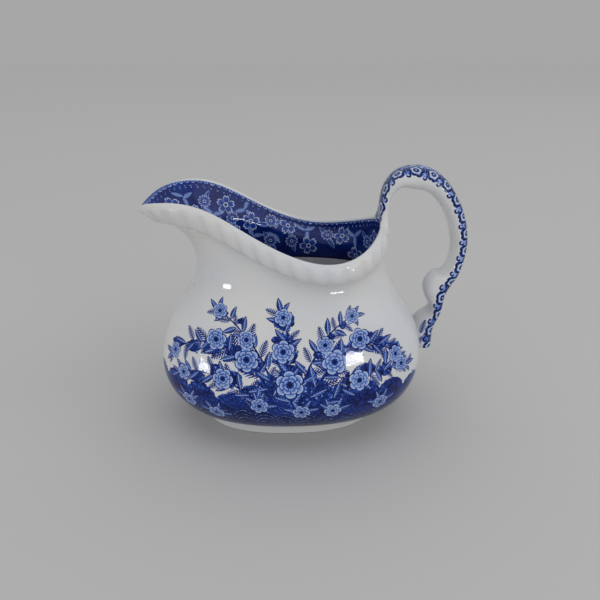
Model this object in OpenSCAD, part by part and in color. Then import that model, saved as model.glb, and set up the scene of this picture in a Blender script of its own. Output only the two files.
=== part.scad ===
// Porcelain cream jug: an oval bellied body with a long raised spout, a gadrooned border
// under a rolled lip, an oval foot and a looped strap handle with an inner scroll.
// Millimetres, +Z up. The origin is on the table, under the middle of the jug's length.
// The spout points to -X, the handle to +X, and the jug is the same on both sides of Y = 0.
// Each module works from the centre of the foot, and placed() sets it on the origin.

/* [Foot] */
// Height of the foot collar
foot_h = 5.5; // [4:0.5:8]
// Half length of the foot where it stands
foot_half_len = 40.9; // [36:0.1:42]
// Half width of the foot where it stands
foot_half_wid = 24.2; // [20:0.1:25]
// Width of the standing rim of the foot
foot_rim = 4.5; // [3:0.5:8]
// Half length of the collar where the body springs from it
collar_half_len = 42.3; // [38:0.1:46]
// Half width of the collar where the body springs from it
collar_half_wid = 25.5; // [22:0.1:30]
// Radius of the worn edge that meets the table
foot_edge = 0.7; // [0.3:0.1:1.2]

/* [Body] */
// Wall thickness
wall = 3.2; // [2:0.1:4]
// Thickness of the floor inside the foot
floor_t = 3.4; // [2:0.1:5]
// Squareness of the oval sections, 2 is an ellipse
oval_power = 2.3; // [2:0.1:3]
// Rise above the collar of the section where the underside turns up
turn_rise = 4.5; // [3:0.5:6]
// Height of the belly section
belly_h = 25; // [20:1:30]
// Belly section, reach towards the spout
belly_front = 63; // [56:0.5:68]
// Belly section, reach towards the handle
belly_back = 63.5; // [58:0.5:68]
// Belly section, half width
belly_half_wid = 45.5; // [36:0.5:48]
// Height of the shoulder section
shoulder_h = 46; // [40:1:50]
// Shoulder section, reach towards the spout
shoulder_front = 59; // [52:0.5:64]
// Shoulder section, reach towards the handle
shoulder_back = 63.5; // [58:0.5:66]
// Shoulder section, half width
shoulder_half_wid = 38; // [36:0.5:46]
// Height of the neck section
neck_h = 75; // [70:1:80]
// Neck section, reach towards the spout
neck_front = 40; // [34:0.5:46]
// Neck section, reach towards the handle
neck_back = 43.4; // [40:0.1:46]
// Neck section, half width
neck_half_wid = 28.5; // [25:0.5:33]

/* [Mouth] */
// Reach of the spout tip, inside the lip
spout_reach = 63.8; // [56:0.5:70]
// Reach of the mouth at the handle, inside the lip
mouth_back = 41; // [38:0.5:43]
// Half width of the mouth at its widest
mouth_half_wid = 32.3; // [28:0.1:36]
// Height of the spout tip
tip_h = 105.5; // [98:0.5:110]
// Height of the crest of the rim behind the tip
crest_h = 111.3; // [104:0.1:116]
// Height of the rim at its lowest
low_h = 88.3; // [86:0.1:92]
// Height of the rim at the handle
back_h = 98; // [94:0.5:102]
// Outward lean of the wall under the spout tip, degrees
spout_lean = 63; // [50:1:72]
// Outward lean of the wall at the sides, degrees
side_lean = 18; // [10:1:35]
// Outward lean of the wall at the handle, degrees
back_lean = 3; // [0:1:8]
// Share of the wall between neck and rim that keeps that lean
flare_share = 0.3; // [0.2:0.05:0.4]

/* [Lip and border] */
// Height of the rolled lip above the wall
lip_h = 2.6; // [1.8:0.1:4]
// How far the lip rolls over outside the wall
lip_over = 0.6; // [0.5:0.1:2]
// Lobes of the border on each side of the jug
lobes_per_side = 16; // [10:1:18]
// Bare lip at the spout tip, from the tip to the first lobe
tip_bare = 12.5; // [6:0.5:14]
// Width of the border below the lip
border_w = 9.4; // [6:0.1:11]
// Relief of a lobe
lobe_relief = 1.7; // [0.6:0.1:2]
// Height of the border in the valley between two lobes, as a share of a lobe's relief
valley_share = 0.6; // [0.2:0.05:0.9]
// Depth of the scallops along the lower edge of the border
scallop = 0.7; // [0:0.1:2.5]
// Thickness of the border at its edges
border_edge = 0.3; // [0.2:0.1:0.5]

/* [Handle] */
// Reach of the handle from the centre of the foot
handle_reach = 81.8; // [76:0.1:88]
// Height of the top of the loop
handle_top = 121.2; // [112:0.1:128]
// Width of the strap across the jug, at the top of the loop
strap_w = 16; // [12:0.5:17]
// Width of the strap where it leaves the rim
root_w = 13; // [11:0.5:14]
// Thickness of the strap at the top of the loop
strap_t = 9.2; // [6:0.1:10]
// Thickness of the strap where it leaves the rim
root_t = 4.6; // [4:0.1:6]
// Height above the rim at which the strap leaves its root
root_rise = 6; // [3:0.5:8]
// Thickness of the strap at the foot of the loop
strap_low_t = 5.8; // [5:0.1:8]
// Width of the strap at the scroll
scroll_w = 13; // [11:0.5:15]
// Width of the tail
tail_w = 14.5; // [12:0.5:16]
// Squareness of the strap section, 2 is an ellipse
strap_power = 2.3; // [2:0.1:4]
// Thickness through the inner scroll
scroll_t = 12.8; // [11:0.1:15]
// How far the outer edge of the strap steps in behind the scroll
scroll_in = 8.4; // [6:0.1:10]
// Height of the middle of the scroll
scroll_h = 64; // [62:0.5:68]
// Height of the lower end of the tail on the belly
tail_h = 36; // [30:0.5:40]
// How far the tail stands off the belly
tail_t = 5.5; // [4:0.5:7]
// Thickness of the heel, where the tail meets the belly
heel_t = 13.5; // [10:0.5:15]
// Length of the root pad down the outside of the neck
root_drop = 10; // [6:0.5:12]
// Thickness of the root pad
root_pad = 1.6; // [1:0.1:2.5]

/* [Hidden] */

// Clearance between a curved seat and the piece on it
seat = 0.1;
// Faces round the body, rows up each wall, points round the strap
around = 64;
rows = 22;
strap_pts = 16;
cols_per_lobe = 6;
// The lip is open for the handle root within this angle of +X
root_rings = 2;
root_angle = (root_rings + 0.5) * 360 / around;
porcelain = "ivory";
cobalt = "royalblue";

// ---------- small helpers ----------
function mix(a, b, t) = a + (b - a) * t;
function total(v, i = 0) = i < len(v) ? v[i] + total(v, i + 1) : 0;
function unit(v) = v / norm(v);
function signed_pow(v, p) = sign(v) * pow(abs(v), p);

// Clamped uniform cubic B-spline through a list of control values, t from 0 to 1
function knot(i, n) = max(0, min(1, (i - 3) / (n - 3)));
function de_boor(P, t, level, i) =
    level == 0 ? P[i] :
    let (
        a = knot(i, len(P)),
        b = knot(i + 4 - level, len(P)),
        f = (t - a) / (b - a)
    )
    mix(de_boor(P, t, level - 1, i - 1), de_boor(P, t, level - 1, i), f);
function spline(P, t) = de_boor(P, t, 3, 3 + min(floor(t * (len(P) - 3)), len(P) - 4));

// A solid skinned over rings of points: each ring has as many points as the next
module loft(rings) {
    m = len(rings[0]);
    n = len(rings);
    points = [for (r = rings) each r];
    sides = [
        for (i = [0:n - 2], j = [0:m - 1])
        let (
            a = i * m + j,
            b = i * m + (j + 1) % m,
            c = b + m,
            d = a + m
        )
        each [[a, d, c], [a, c, b]]
    ];
    start_cap = [for (j = [0:m - 1]) j];
    end_cap = [for (j = [m - 1:-1:0]) (n - 1) * m + j];
    polyhedron(points, concat([start_cap], sides, [end_cap]), convexity = 8);
}

// ---------- the rim, a closed curve in space ----------
// Half width and height are set every 20 degrees from the handle (0) to the tip (180),
// and joined by the smoothest periodic curve through them.
step = 20;
rim_half = mouth_half_wid * [0, 0.42, 0.83, 1, 0.95, 0.85, 0.76, 0.635, 0.33, 0];
rim_height = [
    back_h,
    mix(low_h, back_h, 0.68),
    mix(low_h, back_h, 0.18),
    low_h,
    mix(low_h, crest_h, 0.2),
    mix(low_h, crest_h, 0.62),
    mix(low_h, crest_h, 0.97),
    crest_h,
    mix(tip_h, crest_h, 0.48),
    tip_h
];
last = len(rim_half) - 1;
sine_part = [
    for (k = [1:last - 1]) 2 / last * total([for (j = [1:last - 1]) rim_half[j] * sin(k * step * j)])
];
function end_weight(j) = j == 0 || j == last ? 0.5 : 1;
cosine_part = [
    for (k = [0:last])
    end_weight(k) * 2 / last * total([for (j = [0:last]) end_weight(j) * rim_height[j] * cos(k * step * j)])
];
function rim(a) = [
    mix(-spout_reach, mouth_back, (1 + cos(a)) / 2),
    total([for (k = [1:last - 1]) sine_part[k - 1] * sin(k * a)]),
    total([for (k = [0:last]) cosine_part[k] * cos(k * a)])
];

// Level outward direction across the rim, and the lean of the wall there
function rim_out(a) = let (t = rim(a + 0.05) - rim(a - 0.05)) unit([t[1], -t[0], 0]);
function lean(a) = side_lean
    + (spout_lean - side_lean) * pow(max(0, -cos(a)), 2)
    + (back_lean - side_lean) * pow(max(0, cos(a)), 2);
function wall_up(a) = cos(lean(a)) * [0, 0, 1] + sin(lean(a)) * rim_out(a);
function wall_out(a) = cos(lean(a)) * rim_out(a) - sin(lean(a)) * [0, 0, 1];
// Outer edge of the top of the wall, under the lip
function wall_top(a) = rim(a) + wall * wall_out(a) - lip_h * wall_up(a);

// ---------- the outer skin ----------
// Level sections: height, reach towards the spout, reach towards the handle, half width
sections = [
    [foot_h, collar_half_len, collar_half_len, collar_half_wid],
    [
        foot_h + turn_rise,
        mix(collar_half_len, belly_front, 0.44),
        mix(collar_half_len, belly_back, 0.6),
        mix(collar_half_wid, belly_half_wid, 0.44)
    ],
    [belly_h, belly_front, belly_back, belly_half_wid],
    [shoulder_h, shoulder_front, shoulder_back, shoulder_half_wid],
    [
        mix(shoulder_h, neck_h, 0.55),
        mix(shoulder_front, neck_front, 0.45),
        mix(shoulder_back, neck_back, 0.57),
        mix(shoulder_half_wid, neck_half_wid, 0.45)
    ],
    [neck_h, neck_front, neck_back, neck_half_wid]
];
function oval_point(a, centre, half_len, half_wid, z) =
    let (r = pow(pow(abs(cos(a)), oval_power) + pow(abs(sin(a)), oval_power), -1 / oval_power))
    [centre + half_len * cos(a) * r, half_wid * sin(a) * r, z];
function section_point(s, a) = oval_point(a, (s[2] - s[1]) / 2, (s[1] + s[2]) / 2, s[3], s[0]);

// Control points of the skin at one angle: the level sections, a throat, and the leaning wall
function rib(a) =
    let (
        levels = [for (s = sections) section_point(s, a)],
        neck = levels[len(levels) - 1],
        top = wall_top(a),
        flare = top - flare_share * norm(top - neck) * wall_up(a),
        pull = [0.2, 0.2, 0.85],
        throat = [for (i = [0:2]) mix(neck[i], flare[i], pull[i])]
    )
    concat(levels, [throat, flare, top]);

// A column of the skin, with its outward normals: [[point, normal], ...]
function column(a, levels) =
    let (
        here = rib(a),
        before = rib(a - 0.5),
        after = rib(a + 0.5)
    )
    [
        for (v = levels)
        let (
            v0 = max(0, v - 0.004),
            v1 = min(1, v + 0.004),
            along = spline(after, v) - spline(before, v),
            up = spline(here, v1) - spline(here, v0)
        )
        [spline(here, v), v == 1 ? wall_out(a) : unit(cross(along, up))]
    ];
function ring_angle(i) = (i + 0.5) * 360 / around;

// How far up a rib, from 0 to 1, the wall is d below its top
function level_below(ribs, d, lo = 0.5, hi = 1, i = 0) =
    i == 14 ? (lo + hi) / 2 :
    let (m = (lo + hi) / 2)
    norm(spline(ribs, m) - spline(ribs, 1)) > d
        ? level_below(ribs, d, m, hi, i + 1)
        : level_below(ribs, d, lo, m, i + 1);

// Reach of the outer skin towards the handle at a place across (y) and up (z), below the neck
padded = concat(sections, [for (i = [0:2]) sections[len(sections) - 1]]);
function level_at(z, lo = 0, hi = 0.5, i = 0) =
    i == 20 ? (lo + hi) / 2 :
    let (m = (lo + hi) / 2)
    spline(padded, m)[0] > z ? level_at(z, lo, m, i + 1) : level_at(z, m, hi, i + 1);
function back_reach(y, z) =
    let (s = spline(padded, level_at(z)))
    (s[2] - s[1]) / 2
        + (s[1] + s[2]) / 2 * pow(max(0, 1 - pow(abs(y) / s[3], oval_power)), 1 / oval_power);

// ---------- body and foot ----------
inside_start = 2;
floor_share = 0.9;
module body() {
    // the rows lie closer where the wall bends most, at the foot and under the lip
    levels = [for (i = [0:rows]) mix(i / rows, (1 - cos(180 * i / rows)) / 2, 0.55)];
    columns = [for (i = [0:around - 1]) column(ring_angle(i), levels)];
    outer = [for (r = [0:rows]) [for (c = columns) c[r][0]]];
    inner = [
        for (r = [rows:-1:inside_start])
        [
            for (c = columns)
            let (p = c[r][0] - wall * c[r][1])
            [p[0], p[1], max(p[2], foot_h + floor_t)]
        ]
    ];
    floor_ring = [for (p = inner[len(inner) - 1]) [p[0] * floor_share, p[1] * floor_share, foot_h + floor_t]];
    color(porcelain) loft(concat(outer, inner, [floor_ring]));
}

module foot_ring() {
    // height, half length, half width, from the table up
    profile = [
        [0, foot_half_len - foot_edge, foot_half_wid - foot_edge],
        [foot_edge * 0.3, foot_half_len - foot_edge * 0.3, foot_half_wid - foot_edge * 0.3],
        [foot_edge, foot_half_len, foot_half_wid],
        [foot_h * 0.6, mix(foot_half_len, collar_half_len, 0.25), mix(foot_half_wid, collar_half_wid, 0.25)],
        [foot_h, collar_half_len, collar_half_wid]
    ];
    color(porcelain) difference() {
        loft([for (s = profile) [for (i = [0:around - 1]) oval_point(ring_angle(i), 0, s[1], s[2], s[0])]]);
        translate([0, 0, -1]) linear_extrude(foot_h + 2) polygon([
            for (i = [0:around - 1])
            let (p = oval_point(ring_angle(i), 0, foot_half_len - foot_rim, foot_half_wid - foot_rim, 0))
            [p[0], p[1]]
        ]);
    }
}

// ---------- lip and border ----------
// Section of the lip: out across the wall top, and up along the wall
lip_shape = [
    [-wall, 0],
    [-wall, lip_h * 0.7],
    [-wall * 0.9, lip_h],
    [-wall * 0.5, lip_h * 1.15],
    [0, lip_h * 1.02],
    [lip_over * 0.7, lip_h * 0.72],
    [lip_over, lip_h * 0.35],
    [lip_over * 0.8, 0],
    [0, 0]
];
module lip_roll() {
    color(porcelain) loft([
        for (i = [root_rings:around - 1 - root_rings])
        let (a = ring_angle(i), base = wall_top(a), out = wall_out(a), up = wall_up(a))
        [for (k = [len(lip_shape) - 1:-1:0]) base + lip_shape[k][0] * out + lip_shape[k][1] * up]
    ]);
}

// Angle at a share s of the border, by length along the wall top from the handle to the tip
root_gap = 1.5;
border_start = root_angle + root_gap;
walk_step = 2.5;
walk = [for (a = border_start, d = 0; a < 180 + walk_step;
    d = d + norm(wall_top(a + walk_step) - wall_top(a)), a = a + walk_step) [d, a]];
walk_end = lookup(180, [for (w = walk) [w[1], w[0]]]) - tip_bare;
function border_angle(s) = lookup(s * walk_end, walk);

// Relief across the border, from the lip to the scalloped edge
lobe_profile = [0.7, 0.95, 1, 0.8, 0];
module border_side() {
    count = lobes_per_side * cols_per_lobe;
    loft([
        for (i = [0:count])
        let (
            a = border_angle(i / count),
            swell = pow(abs(sin(180 * i / cols_per_lobe)), 0.7),
            ribs = rib(a),
            width = border_w - scallop * (1 - swell),
            levels = [for (k = [0:4]) level_below(ribs, 0.4 + width * k / 4)],
            spots = column(a, levels)
        )
        concat(
            [for (s = spots) s[0] + seat * s[1]],
            [
                for (k = [4:-1:0])
                let (relief = lobe_relief * lobe_profile[k] * mix(valley_share, 1, swell))
                spots[k][0] + (seat + border_edge + relief) * spots[k][1]
            ]
        )
    ]);
}
module gadroon_border() {
    color(porcelain) {
        border_side();
        mirror([0, 1, 0]) border_side();
    }
}

// ---------- handle ----------
// The outer edge of the strap: reach, height, thickness inwards, width.
// It climbs from the rim, loops over, swells into the inner scroll and runs down the belly.
// The strap leaves the rim this far inside the wall's inner edge
root_in = 0.6;
root_x = mouth_back - root_in;
loop_top = handle_top + 1;
function out_to(share) = mix(root_x, handle_reach, share);
function up_to(share) = mix(scroll_h, loop_top, share);
function thick(share) = mix(strap_t, strap_low_t, share);
strap = [
    [root_x, back_h + root_rise, root_t, root_w],
    [root_x, mix(back_h + root_rise, loop_top, 0.25), root_t, root_w],
    [out_to(0.045), mix(back_h + root_rise, loop_top, 0.6), mix(root_t, strap_t, 0.15), mix(root_w, strap_w, 0.5)],
    [out_to(0.17), up_to(0.97), thick(0), strap_w],
    [out_to(0.35), loop_top, thick(-0.1), strap_w],
    [out_to(0.53), up_to(0.98), thick(-0.1), strap_w],
    [out_to(0.7), up_to(0.9), thick(0), strap_w],
    [out_to(0.81), up_to(0.79), thick(0.25), strap_w],
    [out_to(0.91), up_to(0.665), thick(0.4), mix(strap_w, scroll_w, 0.15)],
    [out_to(0.97), up_to(0.53), thick(0.55), mix(strap_w, scroll_w, 0.3)],
    [out_to(1), up_to(0.39), thick(0.7), mix(strap_w, scroll_w, 0.5)],
    [handle_reach - scroll_in * 0.12, up_to(0.26), thick(1), mix(strap_w, scroll_w, 0.7)],
    [handle_reach - scroll_in * 0.36, up_to(0.1), scroll_t * 0.7, mix(strap_w, scroll_w, 0.85)],
    [handle_reach - scroll_in * 0.93, up_to(-0.02), scroll_t, scroll_w],
    [handle_reach - scroll_in, up_to(-0.14), scroll_t * 0.45, scroll_w],
    [mix(belly_back, handle_reach, 0.42), mix(tail_h, scroll_h, 0.5), tail_t * 0.8, tail_w],
    [belly_back + tail_t, mix(tail_h, scroll_h, 0.32), heel_t, tail_w],
    [belly_back + tail_t, tail_h, mix(tail_t, heel_t, 0.4), tail_w]
];
loop_end = 0.69;
scroll_end = 0.86;
function strap_ring(t) =
    let (
        s = spline(strap, t),
        before = spline(strap, max(0, t - 0.002)),
        after = spline(strap, min(1, t + 0.002)),
        run = unit([after[0] - before[0], after[1] - before[1]]),
        inward = [run[1], 0, -run[0]],
        middle = [s[0], 0, s[1]] + s[2] / 2 * inward
    )
    [
        for (k = [0:strap_pts - 1])
        let (a = 360 * k / strap_pts)
        middle
            + s[2] / 2 * signed_pow(sin(a), 2 / strap_power) * -inward
            + s[3] / 2 * signed_pow(cos(a), 2 / strap_power) * [0, 1, 0]
    ];

module handle_loop() {
    cuts = 34;
    color(cobalt) loft([for (i = [0:cuts]) strap_ring(loop_end * i / cuts)]);
}

module handle_scroll() {
    cuts = 14;
    color(porcelain) loft([for (i = [0:cuts]) strap_ring(mix(loop_end, scroll_end, i / cuts))]);
}

// The tail is pressed on the belly: no point of it lies inside the skin
module handle_tail() {
    cuts = 12;
    color(cobalt) loft([
        for (i = [0:cuts])
        [
            for (p = strap_ring(mix(scroll_end, 1, i / cuts)))
            [max(p[0], back_reach(p[1], p[2]) + seat), p[1], p[2]]
        ]
    ]);
}

// The root stands on the wall top and laps down the outside of the neck as a thin pad.
// On the wall top its section is square enough to meet the ends of the lip.
lip_power = 7;
function root_ring(drop, pad) =
    [
        for (k = [0:strap_pts - 1])
        let (
            a = 360 * k / strap_pts,
            angle = root_angle * signed_pow(cos(a), 2 / strap_power),
            side = signed_pow(sin(a), 2 / strap_power),
            spot = column(angle, [level_below(rib(angle), drop)])[0],
            out = side > 0 ? seat : seat + pad * -side
        )
        spot[0] + out * spot[1]
    ];
function root_foot(rise, pad) =
    [
        for (k = [0:strap_pts - 1])
        let (
            a = 360 * k / strap_pts,
            angle = root_angle * signed_pow(cos(a), 2 / lip_power),
            side = signed_pow(sin(a), 2 / lip_power),
            out = mix(pad, -wall, (side + 1) / 2)
        )
        wall_top(angle) + rise * wall_up(angle) + out * wall_out(angle)
    ];
// The lip runs out along the root: its width narrows fast at first, and then follows the strap
function sweep_rings(p, q, t) = [
    for (i = [0:len(p) - 1])
    let (m = mix(p[i], q[i], t))
    [m[0], mix(q[i][1], p[i][1], pow(1 - t, 2)), m[2]]
];
module handle_root() {
    start = strap_ring(0);
    lip_level = root_foot(lip_h, lip_over);
    color(porcelain) loft(concat(
        [
            root_ring(root_drop, border_edge),
            root_ring(root_drop * 0.75, root_pad * 0.6),
            root_ring(root_drop * 0.4, root_pad),
            root_ring(seat, root_pad),
            root_foot(seat, root_pad)
        ],
        [for (t = [0, 0.2, 0.4, 0.6, 0.8, 1]) sweep_rings(lip_level, start, t)]
    ));
}

// ---------- placing ----------
// The lip stands out past the tip by its own height, less what the lean takes back
tip_reach = -(wall_top(180) + lip_h * wall_up(180))[0];
foot_x = (tip_reach - handle_reach) / 2;
module placed() {
    translate([foot_x, 0, 0]) children();
}

placed() body();
placed() foot_ring();
placed() lip_roll();
placed() gadroon_border();
placed() handle_root();
placed() handle_loop();
placed() handle_scroll();
placed() handle_tail();
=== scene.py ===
# %% [markdown]
# # A porcelain cream jug: cast ware, a cobalt print and a clear glaze
#
# The jug is one fired piece of white ware. A blue print lies on the ware, and a clear glaze lies
# over both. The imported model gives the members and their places. It could be shown as it is, but
# its faces are flat and it carries no print. So this file makes each member again as a fine, smooth
# skin, paints the print in the surface's own shader, and lights it.
#
# All lengths below are in millimetres, and the meshes are turned into metres as they are made.

import bpy
import numpy as np
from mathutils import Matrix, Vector


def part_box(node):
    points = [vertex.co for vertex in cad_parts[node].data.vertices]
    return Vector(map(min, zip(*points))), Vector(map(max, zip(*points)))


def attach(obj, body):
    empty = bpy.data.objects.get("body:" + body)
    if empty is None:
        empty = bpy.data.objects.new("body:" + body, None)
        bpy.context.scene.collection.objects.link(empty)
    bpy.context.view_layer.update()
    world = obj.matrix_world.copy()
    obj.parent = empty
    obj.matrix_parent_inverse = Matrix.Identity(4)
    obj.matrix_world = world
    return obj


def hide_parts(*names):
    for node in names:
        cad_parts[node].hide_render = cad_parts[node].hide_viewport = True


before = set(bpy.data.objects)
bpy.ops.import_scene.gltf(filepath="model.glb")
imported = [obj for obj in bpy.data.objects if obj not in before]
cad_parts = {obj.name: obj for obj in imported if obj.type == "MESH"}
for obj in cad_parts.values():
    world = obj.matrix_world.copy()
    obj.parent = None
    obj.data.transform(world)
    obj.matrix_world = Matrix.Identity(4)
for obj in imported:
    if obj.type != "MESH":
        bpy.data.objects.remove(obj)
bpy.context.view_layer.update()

MM = 0.001
print("members:", sorted(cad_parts))

# %% [markdown]
# ## The sizes of the jug
#
# The jug is laid out about the centre of its foot. A potter's drawing gives a few level ovals up
# the body, the line of the rim, and the lean of the wall at the rim. Those few numbers make the
# whole skin, because smooth curves join them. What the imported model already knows, such as the
# foot, the reach of the handle and the height of its top, is read from it. Vertices could be moved
# by hand instead, but a few named sizes are easier to check and to change.

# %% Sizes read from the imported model
foot_low, foot_high = (np.array(c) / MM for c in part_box("foot_ring"))
handle_low, handle_high = (np.array(c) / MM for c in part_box("handle_loop"))
FOOT_X = (foot_low[0] + foot_high[0]) / 2
FOOT_H = foot_high[2]
COLLAR_LEN = (foot_high[0] - foot_low[0]) / 2
COLLAR_WID = (foot_high[1] - foot_low[1]) / 2
STRAP_W = handle_high[1] - handle_low[1]
print(f"foot {FOOT_H:.1f} high, {2 * COLLAR_LEN:.1f} by {2 * COLLAR_WID:.1f}, centre at x {FOOT_X:.2f}")

# %% Sizes of the drawing
WALL = 3.2
FLOOR_T = 3.4
OVAL_POWER = 2.3
TURN_RISE = 4.5
BELLY_H, BELLY_FRONT, BELLY_BACK, BELLY_WID = 25, 63, 63.5, 45.5
SHOULDER_H, SHOULDER_FRONT, SHOULDER_BACK, SHOULDER_WID = 46, 59, 63.5, 38
NECK_H, NECK_FRONT, NECK_BACK, NECK_WID = 75, 40, 43.4, 28.5
SPOUT_REACH, MOUTH_BACK, MOUTH_WID = 63.8, 41, 32.3
TIP_H, CREST_H, LOW_H, BACK_H = 105.5, 111.3, 88.3, 98
SPOUT_LEAN, SIDE_LEAN, BACK_LEAN = 63, 18, 3
FLARE_SHARE = 0.3
LIP_H, LIP_OVER = 2.6, 0.6
LOBES, TIP_BARE, BORDER_W, LOBE_RELIEF, SCALLOP = 16, 12.5, 9.8, 2.15, 0.7
print(f"wall {WALL} thick, belly {2 * BELLY_WID} across, rim {LOW_H} to {CREST_H} high, {LOBES} lobes a side")

# %% [markdown]
# ## Smooth curves
#
# Thrown and cast ware has no corners along its walls, so every line here is a B-spline: a weighted
# mean of a few control points. Blender has curve objects of this kind. Here the sums are written
# out, because the weights depend only on how far along the curve a point lies, so one small table
# of weights serves every column of the jug at once.

# %% Curve helpers
def mix(a, b, t):
    """a where t is 0, b where t is 1, and in between for the rest."""
    return a + (b - a) * t


def unit(v):
    """The same directions with a length of 1."""
    return v / np.linalg.norm(v, axis=-1, keepdims=True)


def weights(count, t):
    """Weights of a clamped cubic B-spline: a row for each t, a column for each control point."""
    knots = np.clip((np.arange(count + 4) - 3) / (count - 3), 0, 1)
    t = np.clip(np.atleast_1d(np.asarray(t, float)), 0, 1 - 1e-9)[:, None]
    w = ((knots[:-1] <= t) & (t < knots[1:])).astype(float)
    for degree in (1, 2, 3):
        m = w.shape[1] - 1
        rise = knots[degree:degree + m] - knots[:m]
        fall = knots[degree + 1:degree + 1 + m] - knots[1:1 + m]
        going_up = (t - knots[:m]) / np.where(rise == 0, 1, rise)
        going_down = (knots[degree + 1:degree + 1 + m] - t) / np.where(fall == 0, 1, fall)
        w = going_up * w[:, :m] + going_down * w[:, 1:m + 1]
    return w


def walked_along(points):
    """How far one has walked along a line of points, at each of them."""
    return np.concatenate([[0], np.cumsum(np.linalg.norm(np.diff(points, axis=0), axis=1))])


def ease(t):
    """A step from 0 to 1 that starts and ends softly."""
    t = np.clip(t, 0, 1)
    return t * t * (3 - 2 * t)


print("shares of six control points in the middle of a curve:", weights(6, 0.5)[0].round(2))

# %% [markdown]
# ## The rim
#
# The rim dips in the middle, rises to a crest behind the spout and dips a little to the tip. Seen
# from above it is a long egg. Its half width and its height are set every 20 degrees. Straight
# steps between them would show as dents, and a short sum of sines and cosines is the smoothest
# closed line through them. The wall leans out most at the spout and least at the handle.

# %% The rim's line
# half width and height at each station, from the handle round to the tip
STATION_ANGLE = 20
rim_wid = MOUTH_WID * np.array([0, 0.42, 0.83, 1, 0.95, 0.85, 0.76, 0.635, 0.33, 0])
rim_high = np.array([
    BACK_H, mix(LOW_H, BACK_H, 0.68), mix(LOW_H, BACK_H, 0.18), LOW_H, mix(LOW_H, CREST_H, 0.2),
    mix(LOW_H, CREST_H, 0.62), mix(LOW_H, CREST_H, 0.97), CREST_H, mix(TIP_H, CREST_H, 0.48), TIP_H,
])
LAST = len(rim_wid) - 1
stations = np.arange(LAST + 1)
ends_half = np.where((stations == 0) | (stations == LAST), 0.5, 1)
station_turn = np.radians(STATION_ANGLE * stations)
sines = [2 / LAST * (rim_wid * np.sin(k * station_turn)).sum() for k in range(1, LAST)]
cosines = [ends_half[k] * 2 / LAST * (ends_half * rim_high * np.cos(k * station_turn)).sum()
           for k in range(LAST + 1)]


def rim(a):
    """The inner edge of the mouth at angles a, in degrees from the handle."""
    t = np.radians(np.asarray(a, float))
    x = mix(-SPOUT_REACH, MOUTH_BACK, (1 + np.cos(t)) / 2)
    y = sum(s * np.sin((k + 1) * t) for k, s in enumerate(sines))
    z = sum(c * np.cos(k * t) for k, c in enumerate(cosines))
    return np.stack([x, y, z], -1)


print(f"rim: tip {rim(180.0).round(1)}, lowest {rim(np.arange(0, 180.0)).min(0)[2]:.1f}")

# %% The way the wall leans at the rim
def wall_ways(a):
    """Two directions at the rim: up along the leaning wall, and out across it."""
    small_turn = 0.05
    along = rim(np.asarray(a) + small_turn) - rim(np.asarray(a) - small_turn)
    level = unit(np.stack([along[..., 1], -along[..., 0], 0 * along[..., 0]], -1))
    c = np.cos(np.radians(a))
    lean = SIDE_LEAN + (SPOUT_LEAN - SIDE_LEAN) * np.maximum(0, -c) ** 2
    lean = np.radians(lean + (BACK_LEAN - SIDE_LEAN) * np.maximum(0, c) ** 2)[..., None]
    above = np.array([0, 0, 1.0])
    return np.cos(lean) * above + np.sin(lean) * level, np.cos(lean) * level - np.sin(lean) * above


def wall_top(a):
    """The outer edge of the wall, just under the rolled lip."""
    up, out = wall_ways(a)
    return rim(a) + WALL * out - LIP_H * up


print(f"top of the wall: {wall_top(0.0).round(1)} at the handle, {wall_top(180.0).round(1)} at the tip")

# %% [markdown]
# ## The skin of the body
#
# Up each angle of the jug run nine control points: six on level ovals from the collar to the
# neck, then a throat, the flare, and the top of the wall. A smooth curve through each set makes a
# column, and all the columns make the skin. A subdivided cage would give a like form, but here any
# point of the skin can be asked for by its angle and level, which the lip, the lobes, the handle
# and the print all need. The inside is the same skin moved in by the wall.

# %% Level ovals up the body
# height, reach to the front, reach to the back, half width
SECTIONS = [
    (FOOT_H, COLLAR_LEN, COLLAR_LEN, COLLAR_WID),
    (FOOT_H + TURN_RISE, mix(COLLAR_LEN, BELLY_FRONT, 0.44), mix(COLLAR_LEN, BELLY_BACK, 0.6),
     mix(COLLAR_WID, BELLY_WID, 0.44)),
    (BELLY_H, BELLY_FRONT, BELLY_BACK, BELLY_WID),
    (SHOULDER_H, SHOULDER_FRONT, SHOULDER_BACK, SHOULDER_WID),
    (mix(SHOULDER_H, NECK_H, 0.55), mix(SHOULDER_FRONT, NECK_FRONT, 0.45),
     mix(SHOULDER_BACK, NECK_BACK, 0.57), mix(SHOULDER_WID, NECK_WID, 0.45)),
    (NECK_H, NECK_FRONT, NECK_BACK, NECK_WID),
]
THROAT_PULL = np.array([0.2, 0.2, 0.85])


def oval(a, centre, half_len, half_wid, z):
    """Points at angles a on a level oval that is a little squarer than an ellipse."""
    c, s = np.cos(np.radians(a)), np.sin(np.radians(a))
    r = (np.abs(c) ** OVAL_POWER + np.abs(s) ** OVAL_POWER) ** (-1 / OVAL_POWER)
    return np.stack([centre + half_len * c * r, half_wid * s * r, z + 0 * c], -1)


print("ovals at heights", [round(float(z), 1) for z, *_ in SECTIONS])

# %% The skin
def ribs(a):
    """The nine control points at each angle."""
    a = np.atleast_1d(np.asarray(a, float))
    levels = [oval(a, (back - front) / 2, (front + back) / 2, wid, z) for z, front, back, wid in SECTIONS]
    up, _ = wall_ways(a)
    top, neck = wall_top(a), levels[-1]
    flare = top - FLARE_SHARE * np.linalg.norm(top - neck, axis=-1, keepdims=True) * up
    return np.stack(levels + [mix(neck, flare, THROAT_PULL), flare, top], 1)


def skin(a, v):
    """Points of the outer skin: a row for each angle, a column for each level from 0 to 1."""
    points = ribs(a)
    return np.einsum("vk,akc->avc", weights(points.shape[1], v), points)


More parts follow.
